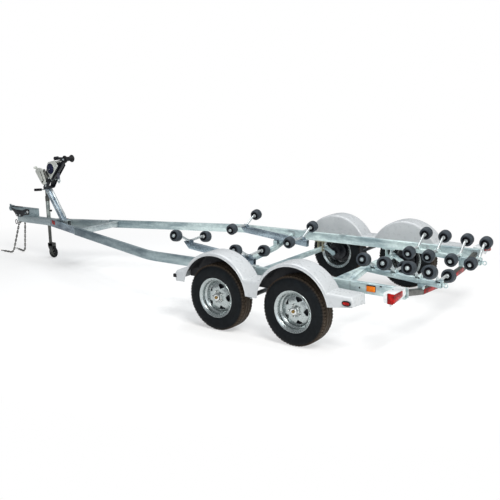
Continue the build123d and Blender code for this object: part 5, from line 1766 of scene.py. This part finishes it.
    def stop(self) -> None:
        """Makes the black bow stop with its fork, and the strap's hook below."""
        black, steel, strap = Surface(), Surface(), Surface()
        x, z = self.bow
        back = self.stop_back
        black.bar(self.spot(self.stop_foot), self.spot((back, z - 0.011)), 0.050, 0.044, 0.006)
        black.bar(self.spot((self.stop_tail, z)), self.spot((back, z)), 0.035, 0.035, 0.005)
        black.disc(self.spot((self.stop_tail, z)), (0, 1, 0), [
            (-0.033, 0.022), (-0.030, 0.026), (0.030, 0.026), (0.033, 0.022)], 32)
        black.block(self.spot((back, z)), (0.014, 0.174, 0.044), 0.003)
        for s in (-1, 1):
            mid = (back + x + 0.022) / 2
            black.block(self.spot((mid, z), s * 0.0835), (x + 0.022 - back, 0.007, 0.044), 0.003)
            steel.bolt(self.spot(self.bow, s * 0.087), (0, s, 0), 0.016)
        steel.disc(self.spot(self.bow), (0, 1, 0), [(-0.094, 0.0085), (0.094, 0.0085)], 16)
        steel.disc(self.spot(self.stop_foot), (0, 1, 0), [(-0.0577, 0.0146), (0.0577, 0.0146)], 20)
        hook_x = -4.240
        strap.block(self.spot((hook_x, 1.215)), (0.005, 0.040, 0.090), 0.001)
        steel.ring(self.spot((hook_x, 1.150)), (0, 1, 0), 0.023, 0.0075)
        steel.block(self.spot((hook_x, 1.128)), (0.014, 0.020, 0.030), 0.004)
        black.dress("bow_stop_bars", Finish.BLACK, replaces=["bow_stop"])
        steel.dress("bow_stop_pins_and_ring", Finish.ZINC)
        strap.dress("bow_strap_end", Finish.STRAP)

    def roller(self) -> None:
        """Makes the waisted bow roller."""
        half = 0.075
        side = [(half, 0.0092), (half, 0.020), (half - 0.004, 0.026), (half - 0.006, 0.036), (half, 0.040),
                (half - 0.002, 0.044), (half - 0.010, 0.0515), (half - 0.020, 0.050), (half - 0.034, 0.040),
                (0.025, 0.0315), (0.012, 0.030)]
        Surface().lathe(both_ways(side), self.spot(self.bow), (0, 1, 0)).dress(
            "bow_roller_rubber", Finish.ROLLER, "black_rubber", ["bow_roller"], "bow_roller", 35.0)

    def make(self) -> None:
        """Makes the whole group."""
        self.post()
        self.plates()
        self.spool()
        self.handle()
        self.stop()
        self.roller()


# ---------------------------------------------------------------- jack


@dataclass
class Jack:
    """The jack beside the tongue: tube, head, handle, leg, fork and wheel."""

    x: float = -4.620
    y: float = 0.080
    wheel_x: float = -4.568
    wheel_r: float = 0.080

    def tube(self) -> None:
        """Makes the tube with its clamps, the head and the handle with its grip."""
        steel, grip = Surface(), Surface()
        x, y = self.x, self.y
        steel.lathe([
            (0.468, 0.0245), (0.468, 0.028), (0.474, 0.0285), (0.845, 0.0285), (0.850, 0.027),
            (0.852, 0.001), (0.812, 0.001), (0.812, 0.0238)], (x, y, 0.0), (0, 0, 1), 40)
        upper = Surface().disc((x, y, 0.0), (0, 0, 1), [
            (0.826, 0.0288), (0.828, 0.0305), (0.893, 0.0305), (0.896, 0.028), (0.898, 0.024),
            (0.990, 0.024)], 40)
        upper.dress("jack_collar", Finish.ZINC, "dark_zinc")
        steel.block((x, y, 1.005), (0.056, 0.056, 0.030), 0.006)
        for z in (0.5766, 0.5154):
            steel.block((x, 0.0466, z), (0.112, 0.0172, 0.010), 0.003)
            steel.ring((x, y, z), (0, 0, 1), 0.0315, 0.0045)
            for dx in (-0.044, 0.044):
                steel.block((x + dx, 0.052, z), (0.024, 0.028, 0.010), 0.003)
                steel.bolt((x + dx, 0.066, z), (0, 1, 0), 0.012)
        steel.block((x, 0.0405, 0.546), (0.112, 0.005, 0.080), 0.002)
        a = math.radians(44.0)
        u = np.array([-math.cos(a), -math.sin(a), 0.0])
        root = (x, y, 0.995) + u * 0.028
        steel.rod([root - u * 0.020, root + u * 0.145], 0.008, 16)
        grip.disc(root, u, [
            (0.040, 0.011), (0.042, 0.017), (0.050, 0.019), (0.138, 0.019), (0.147, 0.017), (0.150, 0.010)])
        grip.disc((x + 0.028, y, 0.690), (1, 0, 0), [
            (0.0, 0.008), (0.022, 0.008), (0.026, 0.015), (0.040, 0.015), (0.044, 0.011)], 20)
        steel.dress("jack_tube_and_head", Finish.ZINC, "jack_zinc", replaces=["jack_tube"])
        grip.dress("jack_handle_grip", Finish.BLACK, "black_rubber")

    def leg(self) -> None:
        """Makes the sliding leg."""
        shell = Surface().disc((self.x, self.y, 0.216), (0, 0, 1), [
            (0, 0.020), (0.002, 0.0225), (0.342, 0.0225), (0.344, 0.020)], 36)
        shell.dress("jack_leg_tube", Finish.ZINC, "dark_zinc", replaces=["jack_leg"], body="jack_leg")

    def fork(self) -> None:
        """Makes the swivelling fork with its cheeks and pin."""
        shell = Surface()
        x0, x1, top, r = self.x, self.wheel_x, 0.2157, 0.0225
        shape = rounded_outline([
            (x0 - r, top), (x1 + r, top), (x1 + r, self.wheel_r - r), (x1 - r, self.wheel_r - r),
            (x0 - r, 0.166)], 0.014)
        for s in (-1, 1):
            shell.slab(shape, "y", self.y + s * 0.028, self.y + s * 0.034, 0.001)
        shell.block(((x0 + x1) / 2, self.y, (0.166 + top) / 2),
                    (x1 - x0 + 2 * r, 0.068, top - 0.166), 0.004)
        shell.disc((x1, self.y, self.wheel_r), (0, 1, 0), [(-0.040, 0.0078), (0.040, 0.0078)], 16)
        for s in (-1, 1):
            shell.bolt((x1, self.y + s * 0.034, self.wheel_r), (0, s, 0), 0.014)
        shell.dress("jack_fork_plates", Finish.ZINC, "dark_zinc", replaces=["jack_fork"], body="jack_fork")

    def wheel(self) -> None:
        """Makes the wheel: a black tyre with ribs in its face and a grey hub."""
        half, r = 0.022, self.wheel_r
        side = [(half, 0.0082), (half, 0.020), (half - 0.008, 0.024), (half - 0.009, 0.050),
                (half - 0.001, 0.056), (half, 0.062), (half - 0.004, 0.074), (half - 0.010, r - 0.001),
                (0.006, r)]
        centre = (self.wheel_x, self.y, r)
        Surface().lathe(both_ways(side), centre, (0, 1, 0)).dress(
            "jack_wheel_tyre", Finish.ROLLER, "black_rubber", ["jack_wheel"], "jack_wheel", 35.0)
        spokes = Surface()
        for s in (-1, 1):
            for k in range(6):
                a = k * math.pi / 3
                u = np.array([math.cos(a), 0.0, math.sin(a)])
                base = np.array(centre) + (0.0, s * (half - 0.006), 0.0)
                spokes.bar(base + u * 0.018, base + u * 0.053, 0.006, 0.008, 0.001, (0, 1, 0))
            spokes.disc(centre, (0, s, 0), [
                (half - 0.006, 0.019), (half + 0.001, 0.018), (half + 0.002, 0.010)])
        spokes.dress("jack_wheel_spokes", Finish.ROLLER, "hub_plastic", body="jack_wheel")

    def make(self) -> None:
        """Makes the whole jack."""
        self.tube()
        self.leg()
        self.fork()
        self.wheel()


# ---------------------------------------------------------------- coupler and chains


@dataclass
class Coupler:
    """The channel on the tongue with its round nose, latch and cross pins."""

    front: float = -5.400
    back: float = -4.786
    width: float = 0.084
    low: float = 0.597
    top: float = 0.712
    wall: float = 0.006
    rings: Tuple[Tuple[float, float, float], ...] = (
        (-4.934, 0.660, 0.036), (-5.195, 0.600, 0.024), (-5.122, 0.600, 0.024))
    shield: Tuple[Pair, ...] = (
        (-5.332, 0.706), (-5.306, 0.674), (-5.240, 0.622), (-5.215, 0.580), (-5.090, 0.577), (-5.030, 0.604),
        (-4.905, 0.622), (-4.893, 0.698), (-4.965, 0.704), (-5.060, 0.674), (-5.240, 0.676))

    def make(self) -> None:
        """Makes the channel, nose, latch, pins and the dark rings about them."""
        steel, dark, bright = Surface(), Surface(), Surface()
        half = self.width / 2
        start = self.front + 0.065
        shape = rounded_outline([
            (start, self.top), (self.back, self.top), (self.back, self.low),
            (-5.175, self.low), (-5.240, self.low + 0.026), (-5.305, self.low + 0.073),
            (start, self.low + 0.080)], 0.008)
        for s in (-1, 1):
            steel.slab(shape, "y", s * (half - self.wall), s * half, 0.0015)
        steel.block(((start + self.back) / 2, 0, self.top - 0.003),
                    (self.back - start, self.width, 0.006), 0.003)
        steel.block((self.back + 0.003, 0, (self.low + self.top) / 2), (0.006, self.width, 0.115), 0.002)
        nose_h = self.top - 0.676
        nose_x = -5.359
        steel.block((-5.316, 0, self.top - nose_h / 2), (0.086, 0.082, nose_h), 0.006)
        steel.lathe([
            (0.648, 0.027), (0.648, 0.033), (0.654, 0.036), (self.top - 0.040, 0.041),
            (self.top - 0.020, 0.041), (self.top - 0.006, 0.037), (self.top, 0.028), (self.top, 0.001),
            (0.690, 0.001), (0.682, 0.018), (0.672, 0.0262), (0.660, 0.0265)], (nose_x, 0, 0), (0, 0, 1))
        lever_x = -5.389
        steel.block((lever_x, 0, 0.720), (0.014, 0.027, 0.044), 0.004)
        steel.bar((lever_x, 0, 0.728), (-5.300, 0, 0.722), 0.022, 0.010, 0.003)
        dark.block((-5.200, 0, self.top + 0.003), (0.180, 0.030, 0.010), 0.003)
        plate = rounded_outline(self.shield, 0.010)
        for s in (-1, 1):
            dark.slab(plate, "y", s * half, s * (half + 0.003), 0.001)
            dark.ring((-5.234, s * 0.030, 0.490), (0.2, 1, 0), 0.032, 0.0055)
        for x, z, wide in self.rings:
            for s in (-1, 1):
                place = (x, s * (half + 0.002), z)
                dark.disc(place, (0, s, 0), [(0, wide), (0.003, wide), (0.004, wide * 0.8)], 28)
                bright.disc(place, (0, s, 0), [
                    (0.003, wide * 0.56), (0.007, wide * 0.56), (0.008, wide * 0.4)], 20)
        for x in (-4.980, -4.860):
            for s in (-1, 1):
                steel.bolt((x, s * half, 0.640), (0, s, 0), 0.018)
        steel.dress("coupler_body", Finish.ZINC, "coupler_zinc", replaces=["coupler"])
        dark.dress("coupler_pin_rings", Finish.BLACK)
        bright.dress("coupler_pins", Finish.ZINC, "rod_zinc")


@dataclass
class Chains:
    """Two safety chains that hang from the tongue and lie on the ground ahead."""

    x: float = -5.140
    y: float = 0.052
    top: float = 0.489
    lie: float = 0.018
    pitch: float = 0.0354
    wire: float = 0.0050
    straight: float = 0.018
    loop: float = 0.0095
    runs: Tuple[Tuple[int, float, float, float], ...] = ((-1, 0.240, 0.0, 0.175), (1, 0.280, 16.0, 0.085))
    hook: Tuple[Pair, ...] = (
        (0.1, 0.0), (0.35, 0.3), (0.7, 0.5), (1.0, 0.0), (0.7, -0.5), (0.45, -0.4))

    def path(self, run: float, lean: float) -> np.ndarray:
        """Gives the chain's run ahead and its height, even steps apart.

        The chain leans ahead as it drops, turns in a short bend and runs on
        level; the places come from the length along the line, read at even
        steps.
        """
        corners = [(0.0, 0.0, self.top), (lean, 0.0, 0.070), (lean + 0.050, 0.0, self.lie),
                   (lean + 0.050 + run, 0.0, self.lie)]
        line = bent_path(corners, 0.090, 10)[:, (0, 2)]
        length = np.concatenate([[0.0], np.cumsum(np.linalg.norm(np.diff(line, axis=0), axis=1))])
        at = (np.arange(int(length[-1] / self.pitch)) + 0.5) * self.pitch
        return np.stack([np.interp(at, length, line[:, 0]), np.interp(at, length, line[:, 1])], 1)

    def link(self, shell: Surface, centre: np.ndarray, along: np.ndarray, across: np.ndarray) -> None:
        """Adds one link: wire carried round two half circles joined by straights."""
        t = np.linspace(-math.pi / 2, math.pi / 2, 7)
        reach = self.straight + self.loop * 0.4
        ahead = reach - self.loop + self.loop * np.cos(t) * 1.4 + 0.0019
        right = np.stack([ahead, self.loop * np.sin(t)], 1)
        loop = np.concatenate([right, -right])
        path = centre + loop[:, :1] * along + loop[:, 1:] * across
        axis = np.cross(along, across)
        shell.add(carried(round_section(self.wire, 8), path, axis, closed=True), loop_rows=True)

    def strand(self, shell: Surface, side: int, run: float, turn_deg: float, lean: float) -> None:
        """Adds one chain, its links turned by a quarter one after another, and its hook."""
        heading = math.radians(turn_deg)
        fx, fy = -math.cos(heading), math.sin(heading)
        level = np.array([-fy, fx, 0.0])
        line = self.path(run, lean)
        slope = np.gradient(line, axis=0)
        for k, ((ahead, z), (da, dz)) in enumerate(zip(line, slope)):
            d = unit((fx * da, fy * da, dz))
            up = np.cross(d, level)
            tilt = math.pi / 4 + (k % 2) * math.pi / 2
            centre = np.array([self.x + fx * ahead, side * self.y + fy * ahead, z])
            self.link(shell, centre, d, level * math.cos(tilt) + up * math.sin(tilt))
        reach = line[-1, 0] + self.pitch / 2
        tip = np.array([self.x + fx * reach, side * self.y + fy * reach, self.lie])
        bow = [tip + (fx * u * 0.060 - fy * v * 0.024, fy * u * 0.060 + fx * v * 0.024, 0.0)
               for u, v in self.hook]
        shell.rod(bent_path(bow, 0.010, 5), 0.0045, 10)

    def make(self) -> None:
        """Makes both chains and the eye plate under the tongue."""
        shell = Surface()
        for side, run, turn_deg, lean in self.runs:
            self.strand(shell, side, run, turn_deg, lean)
        shell.block((self.x, 0, 0.493), (0.032, 0.136, 0.008), 0.002)
        shell.dress("safety_chain_links", Finish.ZINC, "chain_steel", ["safety_chains"], sharp_deg=50.0)


# ---------------------------------------------------------------- studio


@dataclass
class Studio:
    """The pale floor, the soft lights and the camera at the photo's angle."""

    eye: Vec3 = (6.1587, -6.8741, 2.3897)
    yaw: float = 0.6563
    pitch: float = 0.1630
    roll: float = 0.0327
    focal_px: float = 760.5436
    image_px: float = 500.0
    centre_px: Pair = (235.0, 210.0)
    sensor: float = 36.0

    def camera(self) -> None:
        """Places the camera: right, down and forward come from yaw, pitch and roll."""
        cy, sy = math.cos(self.yaw), math.sin(self.yaw)
        cp, sp = math.cos(self.pitch), math.sin(self.pitch)
        forward = np.array([-sy * cp, cy * cp, -sp])
        right = np.array([cy, sy, 0.0])
        down = np.cross(forward, right)
        c, s = math.cos(self.roll), math.sin(self.roll)
        across = c * right + s * down
        below = -s * right + c * down
        data = bpy.data.cameras.new("photo_view")
        data.sensor_width = self.sensor
        data.lens = self.focal_px * self.sensor / self.image_px
        data.shift_x = (self.image_px / 2 - self.centre_px[0]) / self.image_px
        data.shift_y = (self.centre_px[1] - self.image_px / 2) / self.image_px
        cam = bpy.data.objects.new("photo_view", data)
        matrix = np.eye(4)
        matrix[:3, 0], matrix[:3, 1], matrix[:3, 2], matrix[:3, 3] = across, -below, -forward, self.eye
        cam.matrix_world = Matrix(matrix.tolist())
        bpy.context.scene.collection.objects.link(cam)
        bpy.context.scene.camera = cam

    def light(self, name: str, at: Vec3, to: Vec3, size: float, power: float, colour: Colour) -> None:
        """Adds one soft square lamp that faces a place."""
        data = bpy.data.lights.new(name, "AREA")
        data.energy = power
        data.size = size
        data.color = colour
        lamp = bpy.data.objects.new(name, data)
        lamp.location = at
        direction = np.asarray(to, float) - np.asarray(at, float)
        lamp.rotation_mode = "QUATERNION"
        lamp.rotation_quaternion = Vector(tuple(direction)).to_track_quat("-Z", "Y")
        bpy.context.scene.collection.objects.link(lamp)

    def floor(self) -> None:
        """Adds a floor that looks white to the camera, more so further out, and keeps shadows."""
        reach = np.linspace(-40.0, 40.0, 9)
        x, y = np.meshgrid(reach, reach, indexing="ij")
        grid = np.stack([x, y, np.full_like(x, -0.0005)], -1) - ORIGIN
        obj = Surface().add(grid, loop_cols=False).build("floor")
        if obj.data.polygons[0].normal.z < 0:
            obj.data.flip_normals()
        t = Tree("floor_paper")
        t.set(Roughness=0.9, Specular_IOR_Level=0.1)
        t.colour(t.ramp(t.noise(0.6, 2.0), [(0.3, (0.90, 0.90, 0.90)), (0.7, (0.93, 0.93, 0.93))]))
        white = t.node("Emission", 0, {"Color": (1.0, 1.0, 1.0, 1.0)})
        length = t.node("VectorMath", "Value", {0: t.mapped((0.62, 1.0, 1.0))}, operation="LENGTH")
        far = t.remap(length, 1.4, 3.6, 0.42, 1.0)
        camera = t.node("LightPath", "Is Camera Ray", {})
        seen = t.node("Math", 0, {0: camera, 1: far}, operation="MULTIPLY")
        mix = t.node("MixShader", 0, {0: seen, 1: t.shader.outputs[0], 2: white})
        t.link(mix, t.nodes["Material Output"].inputs["Surface"])
        obj.data.materials.append(t.material)

    def world(self) -> None:
        """Makes the sky white to the camera, and plain grey as a light."""
        t = Tree("studio", world=True)
        bpy.context.scene.world = t.material
        rays = [t.node("LightPath", f"Is {kind} Ray", {}) for kind in ("Camera", "Transmission")]
        either = t.node("Math", 0, {0: rays[0], 1: rays[1]}, operation="MAXIMUM")
        plain = t.node("Background", 0, {"Color": (0.93, 0.96, 1.0, 1.0), "Strength": 0.36})
        white = t.node("Background", 0, {"Color": (1.0, 1.0, 1.0, 1.0), "Strength": 1.0})
        mix = t.node("MixShader", 0, {0: either, 1: plain, 2: white})
        t.link(mix, t.nodes["World Output"].inputs["Surface"])

    def make(self) -> None:
        """Makes the camera, lights, floor and sky."""
        self.camera()
        self.floor()
        self.world()
        target = (0.5, 0.0, 0.4)
        self.light("key", (7.5, -4.0, 8.0), target, 3.5, 900.0, (1.0, 0.985, 0.96))
        self.light("top", (0.5, 2.0, 8.0), target, 5.0, 360.0, (0.97, 0.99, 1.0))
        self.light("fill", (5.0, -9.0, 3.0), target, 5.0, 170.0, (0.93, 0.96, 1.0))
        scene = bpy.context.scene
        scene.view_settings.view_transform = "Standard"


# ---------------------------------------------------------------- the trailer


def main() -> None:
    """Makes every piece of the trailer and its studio."""
    logging.basicConfig(level=logging.INFO, format="%(name)s: %(message)s")
    Studio().make()
    CadDress().apply()
    for x_sign, end in ENDS:
        for side, side_name in SIDES:
            RoadWheel(x_sign, end, side, side_name).make()
    for side, side_name in SIDES:
        Fender(side, side_name).make()
    Frame().make()
    DropMembers().make()
    Carriers().make()
    TorsionAxles().make()
    FenderArms().make()
    Lamps().make()
    WinchGroup().make()
    Jack().make()
    Coupler().make()
    Chains().make()
    for node in sorted(frame["nodes"]):
        if node.startswith("roller_"):
            HullRoller(node, -1 if "_left_" in node else 1).make()


if __name__ == "__main__":
    main()
